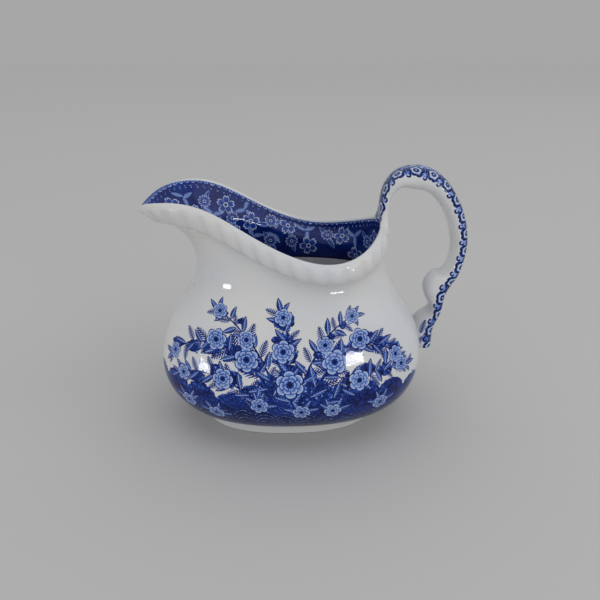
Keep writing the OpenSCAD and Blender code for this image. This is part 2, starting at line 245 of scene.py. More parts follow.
side_column = skin(90.0, np.linspace(0, 1, 99))[0]
print(f"the skin at the belly reaches {side_column[:, 1].max():.1f} from the middle")

# %% Which way the skin faces, and levels measured down from its top
def skin_out(a, v):
    """The ways that the skin faces at the same points, from two short steps along it."""
    a, v = np.atleast_1d(a), np.atleast_1d(v)
    turn_by, rise_by = 0.5, 0.004
    along = skin(a + turn_by, v) - skin(a - turn_by, v)
    rising = skin(a, np.minimum(v + rise_by, 1)) - skin(a, np.maximum(v - rise_by, 0))
    return unit(np.cross(along, rising))


def on_skin(angles, levels):
    """Points and the ways they face, where each angle has levels of its own."""
    pairs = list(zip(angles, levels))
    return np.array([skin([a], v)[0] for a, v in pairs]), np.array([skin_out([a], v)[0] for a, v in pairs])


def level_below(a, depths):
    """Levels on each column that lie the given depths below the top of the wall."""
    fine = np.linspace(1, 0.55, 160)
    return np.array([np.interp(wanted, np.linalg.norm(column - column[0], axis=-1), fine)
                     for column, wanted in zip(skin(a, fine), depths)])


print("10 mm below the top of the wall is level", level_below([90.0], [10.0]).round(3))

# %% [markdown]
# ## Closed meshes
#
# Each member is a stack of rings with the same number of points. Neighbouring rings are joined
# with four-sided faces, and the ends are closed with a fan round a middle point, so every mesh is
# a closed solid with an even grid on it. Modifiers could thicken and round a plain sheet, but a
# grid with known rows shades evenly and can carry the coordinates of the print.

# %% Joining rings with faces
def loft(rings, closed_stack=False):
    """Vertices and faces through a stack of rings. A closed stack meets its own start, like a hoop."""
    n, m = rings.shape[:2]
    verts = rings.reshape(-1, 3)
    stacks = n if closed_stack else n - 1
    i, j = np.meshgrid(np.arange(stacks), np.arange(m), indexing="ij")
    here, above, aside = i * m, (i + 1) % n * m, (j + 1) % m
    quads = np.stack([here + j, here + aside, above + aside, above + j], -1).reshape(-1, 4)
    faces = quads.tolist()
    if not closed_stack:
        verts = np.vstack([verts, rings[0].mean(0), rings[-1].mean(0)])
        faces += [[(k + 1) % m, k, n * m] for k in range(m)]
        faces += [[(n - 1) * m + k, (n - 1) * m + (k + 1) % m, n * m + 1] for k in range(m)]
    a, b, c = (verts[quads[:, k]] for k in (0, 1, 2))
    if np.einsum("ij,ij->", a, np.cross(b, c)) < 0:
        faces = [face[::-1] for face in faces]
    return verts, faces


# %% Making a piece from rings
def piece(name, rings, nodes, closed_stack=False, crease=50):
    """A closed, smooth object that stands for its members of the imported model.

    Edges that turn by more than crease degrees stay sharp.
    """
    verts, faces = loft(rings, closed_stack)
    mesh = bpy.data.meshes.new(name)
    mesh.from_pydata(((verts + [FOOT_X, 0, 0]) * MM).tolist(), [], faces)
    mesh.shade_smooth()
    mesh.set_sharp_from_angle(angle=np.radians(crease))
    made = bpy.data.objects.new(name, mesh)
    bpy.context.scene.collection.objects.link(made)
    for node in nodes:
        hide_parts(node)
    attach(made, "root")
    print(f"{name}: {len(faces)} faces, {(verts.max(0) - verts.min(0)).round(1)} mm")
    return made


# %% [markdown]
# ## The body
#
# The body is slip-cast: liquid clay sets to an even wall inside a plaster mould. So the inside
# follows the outside, and only the floor is flat. One stack of rings goes from the middle of the
# underside out to the collar, up the outside, over the wall and down the inside to the floor. A
# Solidify modifier would thicken the floor with the wall. Here the inside is moved in and lifted
# off the floor's level, so the two meet in a soft curve, as set clay does.

# %% The body's rings
AROUND, ROWS, CROWDING, FILLET = 360, 112, 0.55, 1.6
turn = (np.arange(AROUND) + 0.5) * 360 / AROUND
# rows lie closer together at the foot and at the rim, where the wall bends most
outer_levels = mix(np.linspace(0, 1, ROWS), (1 - np.cos(np.linspace(0, np.pi, ROWS))) / 2, CROWDING)
inner_levels = outer_levels[::2][::-1][:-3]
outside = skin(turn, outer_levels).transpose(1, 0, 2)
inside = (skin(turn, inner_levels) - WALL * skin_out(turn, inner_levels)).transpose(1, 0, 2)
floor_z = FOOT_H + FLOOR_T
inside[..., 2] = floor_z + FILLET * np.logaddexp(0, (inside[..., 2] - floor_z) / FILLET)
last_ring = inside[-1]
floor_rings = [last_ring * [k, k, 1] + [0, 0, (1 - k) * (floor_z - last_ring[:, 2].mean())]
               for k in (0.97, 0.93, 0.85, 0.7, 0.5, 0.3, 0.1)]
under_rings = [outside[0] * [k, k, 1] for k in (0.1, 0.4, 0.7, 0.9, 0.97)]
body = piece("body", np.concatenate([under_rings, outside, inside, floor_rings]), ["body"])

# %% [markdown]
# ## The foot
#
# The foot is a low oval collar that the jug stands on. It leans in a little towards the table, its
# lower edge is worn round, and under it the ware is hollow, so that only the rim touches. Its
# section is a short list of heights and insets. On a lathe it would be spun round, but the foot is
# oval, so the section is carried round an oval.

# %% The foot's rings
FOOT_RIM = 4.5
foot_half_len, foot_half_wid = COLLAR_LEN - 1.4, COLLAR_WID - 1.3
# height, how far out of the standing oval, how far in
foot_profile = [
    (FOOT_H + 0.25, 1.5, 1), (FOOT_H, 1.42, 0.02), (FOOT_H - 0.6, 1.12, 0), (FOOT_H * 0.7, 0.62, 0),
    (FOOT_H * 0.45, 0.28, 0), (FOOT_H * 0.25, 0.06, 0), (0.75, 0, 0), (0.4, -0.1, 0), (0.12, -0.38, 0),
    (0, -0.8, 0), (0, -FOOT_RIM + 0.9, 0), (0.15, -FOOT_RIM + 0.35, 0), (0.55, -FOOT_RIM, 0),
    (FOOT_H * 0.6, -FOOT_RIM - 0.2, 0), (FOOT_H + 0.25, -FOOT_RIM - 0.5, 0),
]
foot_rings = np.array([
    oval(turn[::2], 0, foot_half_len + grow - sink, foot_half_wid + grow - sink, z)
    for z, grow, sink in foot_profile
])
foot = piece("foot", foot_rings, ["foot_ring"], closed_stack=True)

# %% [markdown]
# ## The lip
#
# The rim is thickened and rounded, which makes it strong and pleasant to hold. Its section is one
# rounded shape that sits on the wall, with a narrow crest. A bevel of the wall's edge would be as
# thick as the wall, so the section is drawn. It is carried all the way round, and under the root
# of the handle too, because the root is joined over the finished lip.

# %% The lip's rings
# out from the wall's outer edge, and up from the wall's top
lip_section = np.array([
    (-WALL + 0.25, -LIP_H), (-WALL, -0.9), (-WALL - 0.12, 0.7), (-WALL + 0.05, LIP_H * 0.85),
    (-WALL * 0.72, LIP_H * 1.3), (-WALL * 0.3, LIP_H * 1.26), (-WALL * 0.02, LIP_H * 0.92),
    (LIP_OVER * 0.7, LIP_H * 0.5), (LIP_OVER * 0.9, 0), (LIP_OVER * 0.1, -LIP_H * 0.4),
    (-WALL * 0.5, -LIP_H),
])


def closed_curve(points, count):
    """A smooth closed curve near the points: a periodic cubic B-spline."""
    n = len(points)
    t = np.arange(count) * n / count
    k, f = t.astype(int), (t % 1)[:, None]
    four = [points[(k + d) % n] for d in (-1, 0, 1, 2)]
    shares = [(1 - f) ** 3, 3 * f ** 3 - 6 * f ** 2 + 4, -3 * f ** 3 + 3 * f ** 2 + 3 * f + 1, f ** 3]
    return sum(w * p for w, p in zip(shares, four)) / 6


lip_outline = closed_curve(lip_section, 28)
up, out = wall_ways(turn)
base = wall_top(turn)
lip_rings = base[:, None] + lip_outline[:, :1] * out[:, None] + lip_outline[:, 1:] * up[:, None]
lip = piece("lip", lip_rings, ["lip_roll"], closed_stack=True, crease=80)

# %% [markdown]
# ## The lobed border
#
# Right under the crest of the lip runs a moulding with soft lobes, pressed in the mould. It stands
# out most in the middle and turns back to the wall in a rounded underside, with a nearly straight
# lower edge. The valleys between the lobes are shallow and soft, because the glaze fills them.
# Near the tip of the spout it runs out into the plain lip. The lobes follow the rim in space, and
# the rim rises and falls, so they are laid out by length along the wall's top and not by angle.
# Copies of one lobe along a curve would each need fitting. Here one surface stands off the skin,
# and its height is a product of three plain curves: down the lobe, along the row, and the fade.

# %% The row of lobes along the rim
PER_LOBE, RUN_OUT, SMOOTHINGS = 22, 9, 9
half_turn = np.linspace(0, 180, 1441)
half_rim = walked_along(wall_top(half_turn))
ROOT_ANGLE = 2.5 * 360 / 64
border_from = np.interp(ROOT_ANGLE + 1.5, half_turn, half_rim)
border_to = half_rim[-1] - TIP_BARE
lobe_wid = (border_to - border_from) / LOBES
span = np.concatenate([np.linspace(border_from, border_to, LOBES * PER_LOBE + 1)[:-1],
                       np.linspace(border_to, border_to + RUN_OUT, 16)])
border_angle = np.interp(span, half_rim, half_turn)
# 0 in the valleys and 1 on the lobes, with the sharp valleys smoothed out
swell = np.abs(np.sin(np.pi * (span - border_from) / lobe_wid)) ** 0.85 * (span < border_to)
for _ in range(SMOOTHINGS):
    swell[1:-1] = (swell[:-2] + swell[1:-1] + swell[2:]) / 3
print(f"{LOBES} lobes of {lobe_wid:.1f} mm along {half_rim[-1]:.0f} mm of rim")

# %% The border's rings
ACROSS, RISE, SINK_AT_TIP, INTO_WALL = 26, LIP_H * 1.08, 0.15, 0.5
width = BORDER_W - SCALLOP * (1 - swell)
reach_down = mix(-RISE, width[:, None], np.linspace(0, 1, ACROSS))
border_levels = level_below(border_angle, np.maximum(0, reach_down))
spots, ways = on_skin(border_angle, border_levels)
up, _ = wall_ways(border_angle)
spots = spots + np.maximum(0, -reach_down)[..., None] * up[:, None]
down = (reach_down + RISE) / (width[:, None] + RISE)
lobe_down = [-0.06, 0.52, 0.78, 0.92, 0.99, 1.0, 0.96, 0.85, 0.62, 0.27, -0.05]
valley_down = [0.05, 0.22, 0.48, 0.75, 0.95]
full = np.interp(down, np.linspace(0, 1, len(lobe_down)), lobe_down)
valley = np.interp(down, [0, 0.2, 0.5, 0.8, 1], valley_down)
fade = ease((border_to + RUN_OUT - span) / RUN_OUT)[:, None]
relief = full * LOBE_RELIEF * mix(valley, 1, swell[:, None]) * fade - SINK_AT_TIP * (1 - fade)
front = spots + relief[..., None] * ways
back = spots - INTO_WALL * ways
near_side = np.concatenate([front, back[:, ::-1]], 1)
border_right = piece("border_right", near_side, ["gadroon_border"], crease=70)
border_left = piece("border_left", near_side * [1, -1, 1], ["gadroon_border"], crease=70)

# %% [markdown]
# ## The handle
#
# The handle is a pulled strap: it climbs from the rim, loops over, swells into a small scroll on
# its inner side and runs down on to the belly. The scroll starts with a small step. A curve object
# with a bevel would swell to both sides, but only the strap's inner side swells, so the line that
# sets it out is its outer edge. At each station of that line the strap has a thickness inwards and
# a width, and smooth curves join them.

# %% Sizes of the handle
HANDLE_REACH = handle_high[0] - FOOT_X
LOOP_TOP = handle_high[2] + 0.5
ROOT_RISE, ROOT_W, ROOT_T, STRAP_T, STRAP_LOW_T = 6, 13, 4.6, 9.2, 5.8
SCROLL_W, SCROLL_T, SCROLL_IN, SCROLL_H = 13, 12.8, 8.4, 64
TAIL_W, TAIL_T, TAIL_H, HEEL_T = 14.5, 5.5, 36, 13.5
ROOT_X = MOUTH_BACK - 0.6
STRAP_POWER = 2.3
root_z = BACK_H + ROOT_RISE


def out_to(t):
    """Reach: 0 at the rim, 1 at the handle's furthest point."""
    return mix(ROOT_X, HANDLE_REACH, t)


def up_to(t):
    """Height: 0 at the scroll, 1 at the top of the loop."""
    return mix(SCROLL_H, LOOP_TOP, t)


def thick(t):
    """Thickness: 0 at the top of the strap, 1 low down."""
    return mix(STRAP_T, STRAP_LOW_T, t)


def wide(t):
    """Width: 0 on the loop, 1 at the scroll."""
    return mix(STRAP_W, SCROLL_W, t)


# %% Stations along the strap
# reach, height, thickness inwards, width
strap = np.array([
    (ROOT_X, root_z, ROOT_T, ROOT_W),
    (ROOT_X, mix(root_z, LOOP_TOP, 0.25), ROOT_T, ROOT_W),
    (out_to(0.045), mix(root_z, LOOP_TOP, 0.6), mix(ROOT_T, STRAP_T, 0.15), mix(ROOT_W, STRAP_W, 0.5)),
    (out_to(0.17), up_to(0.97), thick(0), wide(0)),
    (out_to(0.35), LOOP_TOP, thick(-0.3), wide(0)),
    (out_to(0.53), up_to(0.98), thick(-0.3), wide(0)),
    (out_to(0.7), up_to(0.9), thick(0), wide(0)),
    (out_to(0.81), up_to(0.79), thick(0.25), wide(0)),
    (out_to(0.91), up_to(0.665), thick(0.4), wide(0.15)),
    (out_to(0.97), up_to(0.53), thick(0.55), wide(0.3)),
    (out_to(1), up_to(0.39), thick(0.7), wide(0.5)),
    (HANDLE_REACH - SCROLL_IN * 0.12, up_to(0.26), thick(1), wide(0.7)),
    (HANDLE_REACH - SCROLL_IN * 0.36, up_to(0.1), SCROLL_T * 0.5, wide(0.85)),
    (HANDLE_REACH - SCROLL_IN * 0.93, up_to(-0.02), SCROLL_T * 1.04, SCROLL_W),
    (HANDLE_REACH - SCROLL_IN, up_to(-0.14), SCROLL_T * 0.45, SCROLL_W),
    (mix(BELLY_BACK, HANDLE_REACH, 0.42), mix(TAIL_H, SCROLL_H, 0.5), TAIL_T * 0.8, TAIL_W),
    (BELLY_BACK + TAIL_T, mix(TAIL_H, SCROLL_H, 0.32), HEEL_T, TAIL_W),
    (BELLY_BACK + TAIL_T, TAIL_H, mix(TAIL_T, HEEL_T, 0.4), TAIL_W),
])
print(f"strap: {len(strap)} stations, reach {HANDLE_REACH:.1f}, top at {LOOP_TOP:.1f}")

# %% The strap's rings
# places along the strap, from 0 at the rim to 1 on the belly
LOOP_END, SCROLL_END = 0.69, 0.86
STEP_AT, STEP_LONG, STEP_FADES, STEP_GONE, STEP_T = 0.738, 0.018, 0.07, 0.83, 2.0
SECTION = 48
section_turn = np.arange(SECTION) * 2 * np.pi / SECTION


def squarish(power):
    """Across and up on a ring that is squarer than an ellipse. A greater power is squarer."""
    return [np.sign(v) * np.abs(v) ** (2 / power) for v in (np.cos(section_turn), np.sin(section_turn))]


def strap_at(t):
    """The station at each place: reach, height, thickness, width."""
    return weights(len(strap), t) @ strap


def strap_rings(t):
    """Rings of the strap at places t: outer face first, then round by the near side."""
    t, small_step = np.asarray(t, float), 0.002
    reach, height, thickness, breadth = strap_at(t).T[..., None]
    step = STEP_T * ease((t - STEP_AT) / STEP_LONG) * np.clip((STEP_GONE - t) / STEP_FADES, 0, 1)
    thickness = thickness + step[:, None]
    run = strap_at(np.minimum(t + small_step, 1)) - strap_at(np.maximum(t - small_step, 0))
    run = unit(run[:, :2])
    inward = np.stack([run[:, 1], 0 * run[:, 0], -run[:, 0]], -1)
    middle = np.hstack([reach, 0 * reach, height]) + thickness / 2 * inward
    side, face = squarish(STRAP_POWER)
    return (middle[:, None] - (thickness / 2 * face)[..., None] * inward[:, None]
            + (breadth / 2 * side)[..., None] * np.array([0, 1.0, 0]))


# %% The loop and the scroll
loop_at = np.linspace(0, LOOP_END, 150)
loop = piece("handle_loop_skin", strap_rings(loop_at), ["handle_loop"])
scroll_at = np.linspace(LOOP_END, SCROLL_END, 50)
scroll = piece("handle_scroll_skin", strap_rings(scroll_at), ["handle_scroll"])

# %% [markdown]
# ## The tail of the handle
#
# The tail is pressed on to the belly while both are damp. So the side that faces the jug takes the
# shape of the belly, and it sinks a little into the wall. A Shrinkwrap modifier could press it on.
# The belly's reach at any height is known here, so no point of the tail is let further in than
# that. Its lower end is cut level, and the cut's edge is rubbed round with a wet thumb.

# %% The tail's rings
TAIL_SINK, TAIL_ROWS = 0.8, 54
padded = np.array(SECTIONS + [SECTIONS[-1]] * 3)
level_line = weights(len(padded), np.linspace(0, 0.5, 400)) @ padded


def back_reach(y, z):
    """How far the skin reaches towards the handle at a place across and up."""
    front, back, wid = (np.interp(z, level_line[:, 0], level_line[:, k]) for k in (1, 2, 3))
    round_part = np.maximum(0, 1 - np.abs(y / wid) ** OVAL_POWER) ** (1 / OVAL_POWER)
    return (back - front) / 2 + (front + back) / 2 * round_part


tail_rings = strap_rings(np.linspace(SCROLL_END, 1, TAIL_ROWS))
end = tail_rings[-1].copy()
rubbed = [mix(end.mean(0), end, step_in) - [0, 0, drop]
          for step_in, drop in ((0.985, 0.05), (0.95, 0.2), (0.88, 0.3))]
tail_rings = np.concatenate([tail_rings, rubbed])
belly_reach = back_reach(tail_rings[..., 1], tail_rings[..., 2])
tail_rings[..., 0] = np.maximum(tail_rings[..., 0], belly_reach - TAIL_SINK)
tail = piece("handle_tail_skin", tail_rings, ["handle_tail"])

# %% [markdown]
# ## The root of the handle
#
# Where the strap leaves the rim, the lip runs up along its sides in one sweep, and a thin pad laps
# down the outside of the neck. A boolean union would leave a hard line there. So the root is drawn
# as a few rings: the pad, the lip's own width on the wall, and then rings that narrow fast at first
# and follow the strap. A smooth curve up through the rings gives the soft hollow that a finger
# leaves in wet clay.

# %% The root's rings
ROOT_DROP, ROOT_PAD, LIP_POWER = 10, 1.6, 7


def pad_ring(drop, pad):
    """A ring on the skin, drop below the top of the wall: pad proud outside, sunk in on the other side."""
    across, side = squarish(STRAP_POWER)
    angle = ROOT_ANGLE * across
    spot, way = (points[:, 0] for points in on_skin(angle, level_below(angle, np.full((SECTION, 1), drop))))
    return spot + np.where(side > 0, -0.6, -0.1 + pad * -side)[:, None] * way


def wall_ring(rise, pad):
    """A ring round the wall itself, rise above its top."""
    across, side = squarish(LIP_POWER)
    angle = ROOT_ANGLE * across
    up, out = wall_ways(angle)
    return wall_top(angle) + rise * up + mix(pad, -WALL - 0.05, (side + 1) / 2)[:, None] * out


lip_ring, start_ring = wall_ring(LIP_H, LIP_OVER), strap_rings([0])[0]
root_control = [pad_ring(drop, pad) for drop, pad in (
    (ROOT_DROP, -0.3), (ROOT_DROP * 0.75, ROOT_PAD * 0.6), (ROOT_DROP * 0.4, ROOT_PAD), (0.3, ROOT_PAD))]
root_control.append(wall_ring(0, ROOT_PAD))
for t in (0, 0.2, 0.4, 0.6, 0.8, 1):
    ring = mix(lip_ring, start_ring, t)
    ring[:, 1] = mix(start_ring[:, 1], lip_ring[:, 1], (1 - t) ** 2)
    root_control.append(ring)
root_control = np.array(root_control)
root_rings = np.einsum("tk,kmc->tmc", weights(len(root_control), np.linspace(0, 1, 60)), root_control)
root = piece("handle_root_skin", root_rings, ["handle_root"])

# %% [markdown]
# ## How the print is laid on the ware
#
# A potter prints a whole design on thin paper and rubs it on to the ware, so each flower keeps its
# shape and follows the surface. Here every flower, leaf and stem gets its own small pair of
# coordinates, worked out on the plane that touches the skin at its middle. The mesh stores them on
# the corners of its faces, and the shader draws the motif from them. One flat design wrapped round
# the whole jug would stretch where the jug swells. This way the edges stay sharp at any distance,
# and one drawing serves every flower.

# %% Places on the skin
class Surface:
    """The outside or the inside of the wall: its points and the way each one faces."""

    def __init__(self, spots, ways):
        self.spots, self.ways = spots.reshape(-1, 3), ways.reshape(-1, 3)

    def at(self, side, x, z):
        """The point that lies at x and z on the side y > 0 (1) or y < 0 (-1)."""
        off = (self.spots[:, 0] - x) ** 2 + (self.spots[:, 2] - z) ** 2
        off[self.spots[:, 1] * side < 0] = np.inf
        return self.spots[off.argmin()]

    def touch(self, point, lean):
        """The nearest point, the directions along and to the left on the skin, and the way it faces.

        Along is level where lean is 0, and lean turns it upwards in degrees.
        """
        k = ((self.spots - point) ** 2).sum(1).argmin()
        way = self.ways[k]
        rising = unit(np.array([0, 0, 1.0]) - way[2] * way)
        level = np.cross(rising, way)
        c, s = np.cos(np.radians(lean)), np.sin(np.radians(lean))
        return self.spots[k], c * level + s * rising, c * rising - s * level, way


outer_way = skin_out(turn, outer_levels).transpose(1, 0, 2)
wall_outside = Surface(outside, outer_way)
wall_inside = Surface(inside, -skin_out(turn, inner_levels).transpose(1, 0, 2))
print(f"outside: {len(wall_outside.spots)} places for a motif, inside: {len(wall_inside.spots)}")

# %% A layer of motifs
class Motifs:
    """A layer of motifs of one kind that don't overlap each other."""

    def __init__(self):
        self.rows = []

    def add(self, surface, point, lean, half_len, half_wid, seed, from_base=False):
        """The point is the motif's middle, or its base, from which it grows along its lean."""
        if from_base:
            _, along, _, _ = surface.touch(point, lean)
            point = point + along * half_len
        spot, along, left, way = surface.touch(point, lean)
        self.rows.append((spot, along / half_len, left / half_wid, way, seed))


# %% The corners of a mesh
class Sheet:
    """The corners and the faces of one mesh, and the numbers that are stored on its corners."""

    def __init__(self, made):
        self.mesh = mesh = made.data
        count = len(mesh.loops)
        corner_vert = np.empty(count, int)
        mesh.loops.foreach_get("vertex_index", corner_vert)
        co = np.empty(len(mesh.vertices) * 3)
        mesh.vertices.foreach_get("co", co)
        self.corners = (co.reshape(-1, 3) / MM - [FOOT_X, 0, 0])[corner_vert]
        sides = np.empty(len(mesh.polygons), int)
        mesh.polygons.foreach_get("loop_total", sides)
        self.face_of = np.repeat(np.arange(len(sides)), sides)
        self.centres = np.stack([np.bincount(self.face_of, self.corners[:, k]) / sides for k in range(3)], -1)
        ways = np.empty(len(sides) * 3)
        mesh.polygons.foreach_get("normal", ways)
        self.ways = ways.reshape(-1, 3)
        self.corner_vert = corner_vert

    def store(self, name, values):
        """Stores three numbers on each corner, which an Attribute node reads by this name."""
        held = self.mesh.attributes.new(name, "FLOAT_VECTOR", "CORNER")
        held.data.foreach_set("vector", np.ascontiguousarray(values, dtype=np.float32).ravel())


# %% Laying motifs on a mesh
NO_MOTIF = 9.0


def lay(held, name, motifs):
    """Each face takes the motif whose middle it lies nearest, measured in that motif's size."""
    widest, deepest, least_facing = 1.25, 9, 0.2
    nearest = np.full(len(held.centres), widest)
    chosen = np.full(len(held.centres), -1)
    for k, (spot, along, left, way, _) in enumerate(motifs.rows):
        off = held.centres - spot
        far = np.hypot(off @ along, off @ left)
        far[(held.ways @ way < least_facing) | (np.abs(off @ way) > deepest)] = NO_MOTIF
        closer = far < nearest
        nearest[closer], chosen[closer] = far[closer], k
    values = np.full((len(held.corners), 3), NO_MOTIF)
    for k, (spot, along, left, _, seed) in enumerate(motifs.rows):
        mine = chosen[held.face_of] == k
        off = held.corners[mine] - spot
        values[mine] = np.stack([off @ along, off @ left, np.full(len(off), seed)], -1)
    held.store(name, values)
    print(f"{name}: {len(motifs.rows)} motifs on {np.count_nonzero(chosen >= 0)} faces")


# %% Drawing lines on a mesh
def draw_lines(held, name, lines):
    """Lines with a thickness: how far across the line in half thicknesses, and how far along."""
    widest, past_end = 3.0, 0.4
    values = np.full((len(held.corners), 3), NO_MOTIF)
    nearest = np.full(len(held.centres), widest)
    for k, (path, ways, thickness) in enumerate(lines):
        steps, walked = unit(np.gradient(path, axis=0)), walked_along(path)
        in_reach = np.linalg.norm(held.centres - path.mean(0), axis=1) < walked[-1] / 2 + 4
        faces = np.where(in_reach & (held.ways @ ways[len(ways) // 2] > 0))[0]
        gap = np.linalg.norm(held.centres[faces, None] - path[None], axis=2).min(1)
        closer = gap < nearest[faces]
        faces = faces[closer]
        nearest[faces] = gap[closer]
        mine = np.isin(held.face_of, faces)
        at = ((held.corners[mine, None] - path[None]) ** 2).sum(2).argmin(1)
        off = held.corners[mine] - path[at]
        across = np.einsum("ij,ij->i", off, np.cross(ways[at], steps[at]))
        along = walked[at] + np.einsum("ij,ij->i", off, steps[at])
        half = np.interp(along, walked, thickness) / 2
        beyond = np.maximum(-along, along - walked[-1]) > past_end
        seed = np.full(len(off), k * 1.7)
        values[mine] = np.stack([across / half + NO_MOTIF * beyond, along, seed], -1)
    held.store(name, values)
    print(f"{name}: {len(lines)} lines")


# %% [markdown]
# ## The design of the print
#
# The design is a garden, which any pottery might print. A bank of rounded bushes runs round the
# foot of the wall. On the side with the spout to the left a bouquet grows out of it: one tall stem
# in the middle, and long arching boughs that fall to the left and the right, with open flowers
# along them. On the other side two long boughs show. Behind the leaves lie clumps of small foliage,
# which give the mass its depth. The wall above stays white.
#
# Scattering the plants at random would leave holes and crowds, so each bough is drawn through a
# few points, and only the length and the lean of its leaves are left to chance.

# %% Stems and boughs
STEM_POINTS = 60
chance = np.random.default_rng(7)
flowers, leaves, ferns, clumps, lines = Motifs(), Motifs(), Motifs(), Motifs(), []


def stem(surface, path, thick_from, thick_to):
    """A stem that runs on the skin through a few points of it.

    The spline needs four points. With three its weights are not numbers, and the stem shrinks to
    one point and does not show.
    """
    flat = weights(len(path), np.linspace(0, 1, STEM_POINTS)) @ np.array(path, float)
    near = np.array([surface.touch(p, 0)[0] for p in flat])
    smooth = np.array([near[max(0, k - 2):k + 3].mean(0) for k in range(len(near))])
    ways = np.array([surface.touch(p, 0)[3] for p in smooth])
    lines.append((smooth, ways, np.linspace(thick_from, thick_to, len(smooth))))


def bough(side, points, leaf_count, size, blooms, thick, bushy):
    """A stem with leaves close together on both sides, foliage behind them and flowers on it.

    Points are x and z on the wall, size is the leaves', and bushy is the clumps' half width. Each
    bloom is a share of the length, a shift to the left and a radius.
    """
    stem(wall_outside, [wall_outside.at(side, x, z) for x, z in points], thick, 0.5)
    path, ways, _ = lines[-1]
    ahead = unit(np.gradient(path, axis=0))
    for k in range(leaf_count):
        at = int(5 + (STEM_POINTS - 6) * k / (leaf_count - 1))
        _, level, rising, way = wall_outside.touch(path[at], 0)
        lean = np.degrees(np.arctan2(ahead[at] @ rising, ahead[at] @ level))
        for hand in (1, -1):
            long = size * chance.uniform(0.8, 1.15) * (1.1 - 0.4 * k / leaf_count)
            layer = (leaves, ferns)[(k + (hand > 0)) % 2]
            layer.add(wall_outside, path[at], lean + hand * chance.uniform(32, 72), long,
                      long * (0.46 if layer is leaves else 0.52), chance.uniform(0, 6), from_base=True)
        if k % 2 and k < leaf_count - 1:
            beside = path[at] + np.cross(way, ahead[at]) * chance.normal(0, 1.5)
            around = bushy * (1.05 - 0.4 * k / leaf_count)
            clumps.add(wall_outside, beside, 0, around, around * 0.8, chance.uniform(0, 6))
    leaves.add(wall_outside, path[-1], lean, size * 0.8, size * 0.38, chance.uniform(0, 6), from_base=True)
    for at, shift, radius in blooms:
        at = int(at * (STEM_POINTS - 1))
        middle = path[at] + np.cross(ways[at], ahead[at]) * shift
        flowers.add(wall_outside, middle, chance.uniform(0, 360), radius, radius, chance.uniform(0, 6))


# %% The garden on the side with the spout to the left
bough(-1, [(1, 24), (-2, 36), (2, 50), (-3, 67)], 13, 4.6,
      [(0.36, 0, 6.9), (0.68, 2, 5.6), (0.97, 0, 4.2)], 2.0, 7.5)
bough(-1, [(-3, 24), (-12, 42), (-27, 54), (-42, 53), (-53, 43)], 15, 4.4,
      [(0.33, 0, 6.0), (0.62, -2, 5.2), (0.97, 0, 4.0)], 1.8, 6.5)
bough(-1, [(5, 24), (13, 41), (26, 54), (40, 52), (48, 43)], 15, 4.4,
      [(0.33, 0, 6.2), (0.6, 2, 5.2), (0.97, 0, 4.2)], 1.8, 6.5)
bough(-1, [(-5, 30), (-11, 50), (-20, 62), (-31, 66)], 11, 4.0, [(0.97, 0, 3.8), (0.55, 1, 4.4)], 1.3, 3.3)
bough(-1, [(4, 34), (9, 50), (18, 62), (27, 64)], 10, 3.8, [(0.97, 0, 3.6), (0.5, -1, 4.2)], 1.2, 3.2)
bough(-1, [(-10, 25), (-24, 41), (-38, 43), (-50, 36)], 11, 4.2, [(0.45, 0, 5.2), (0.93, 0, 4.0)], 1.4, 6.0)
bough(-1, [(12, 25), (24, 39), (38, 42), (52, 38)], 11, 4.2, [(0.45, 0, 5.4), (0.93, 0, 4.2)], 1.4, 6.0)
print(f"{len(lines)} stems, {len(flowers.rows)} flowers")

# %% The garden on the other side
# only the first two show: the last three have three points, which is one too few for the spline
bough(1, [(-24, 22), (-30, 42), (-22, 58), (-6, 66), (8, 62)], 16, 4.4,
      [(0.3, 0, 6.4), (0.55, 2, 5.6), (0.78, -1, 5.0), (0.98, 0, 4.0)], 1.9, 7.0)
bough(1, [(34, 22), (38, 38), (30, 50), (14, 52)], 12, 4.4,
      [(0.3, 0, 6.2), (0.6, -1, 5.4), (0.97, 0, 4.2)], 1.8, 6.5)
bough(1, [(-30, 24), (-42, 40), (-52, 50)], 8, 4.0, [(0.5, 0, 4.8), (0.95, 0, 3.8)], 1.4, 5.5)
bough(1, [(40, 26), (50, 40), (54, 52)], 8, 3.9, [(0.5, 0, 4.8), (0.95, 0, 3.8)], 1.4, 5.0)
bough(1, [(2, 24), (0, 36), (6, 44)], 7, 4.0, [(0.95, 0, 5.0), (0.4, 0, 4.4)], 1.4, 6.0)
print(f"{len(lines)} stems, {len(flowers.rows)} flowers")

# %% Low plants all round, in front of the bushes
for side in (-1, 1):
    for k, x in enumerate(np.arange(-56, 64, 8.5)):
        z = 25 + 3.5 * np.sin(x * 0.21 + side) - 0.0022 * x * x
        point = wall_outside.at(side, x + chance.normal(0, 1), z)
        if k % 2:
            flowers.add(wall_outside, point, 0, 4.4, 4.4, chance.uniform(0, 6))
        for lean in (20, 62, 115, 160):
            layer = leaves if k % 2 else ferns
            lean += chance.normal(0, 8)
            layer.add(wall_outside, point, lean, 4.4, 2.0, chance.uniform(0, 6), from_base=True)
for label, layer in (("flowers", flowers), ("leaves", leaves), ("ferns", ferns), ("clumps", clumps)):
    print(len(layer.rows), label)

# %% [markdown]
# ## The band inside the mouth
#
# Inside the mouth the print is reversed: the ground is cobalt and the flowers are left pale. They
# stand apart from each other, in staggered rows that follow the rim. Wild roses, daisies and
# sprigs take turns. The rows are set out by lengths walked along the rim and down the wall, because
# angles would crowd them at the narrow spout. The stems between them do not show, because each is
# laid through three points only.

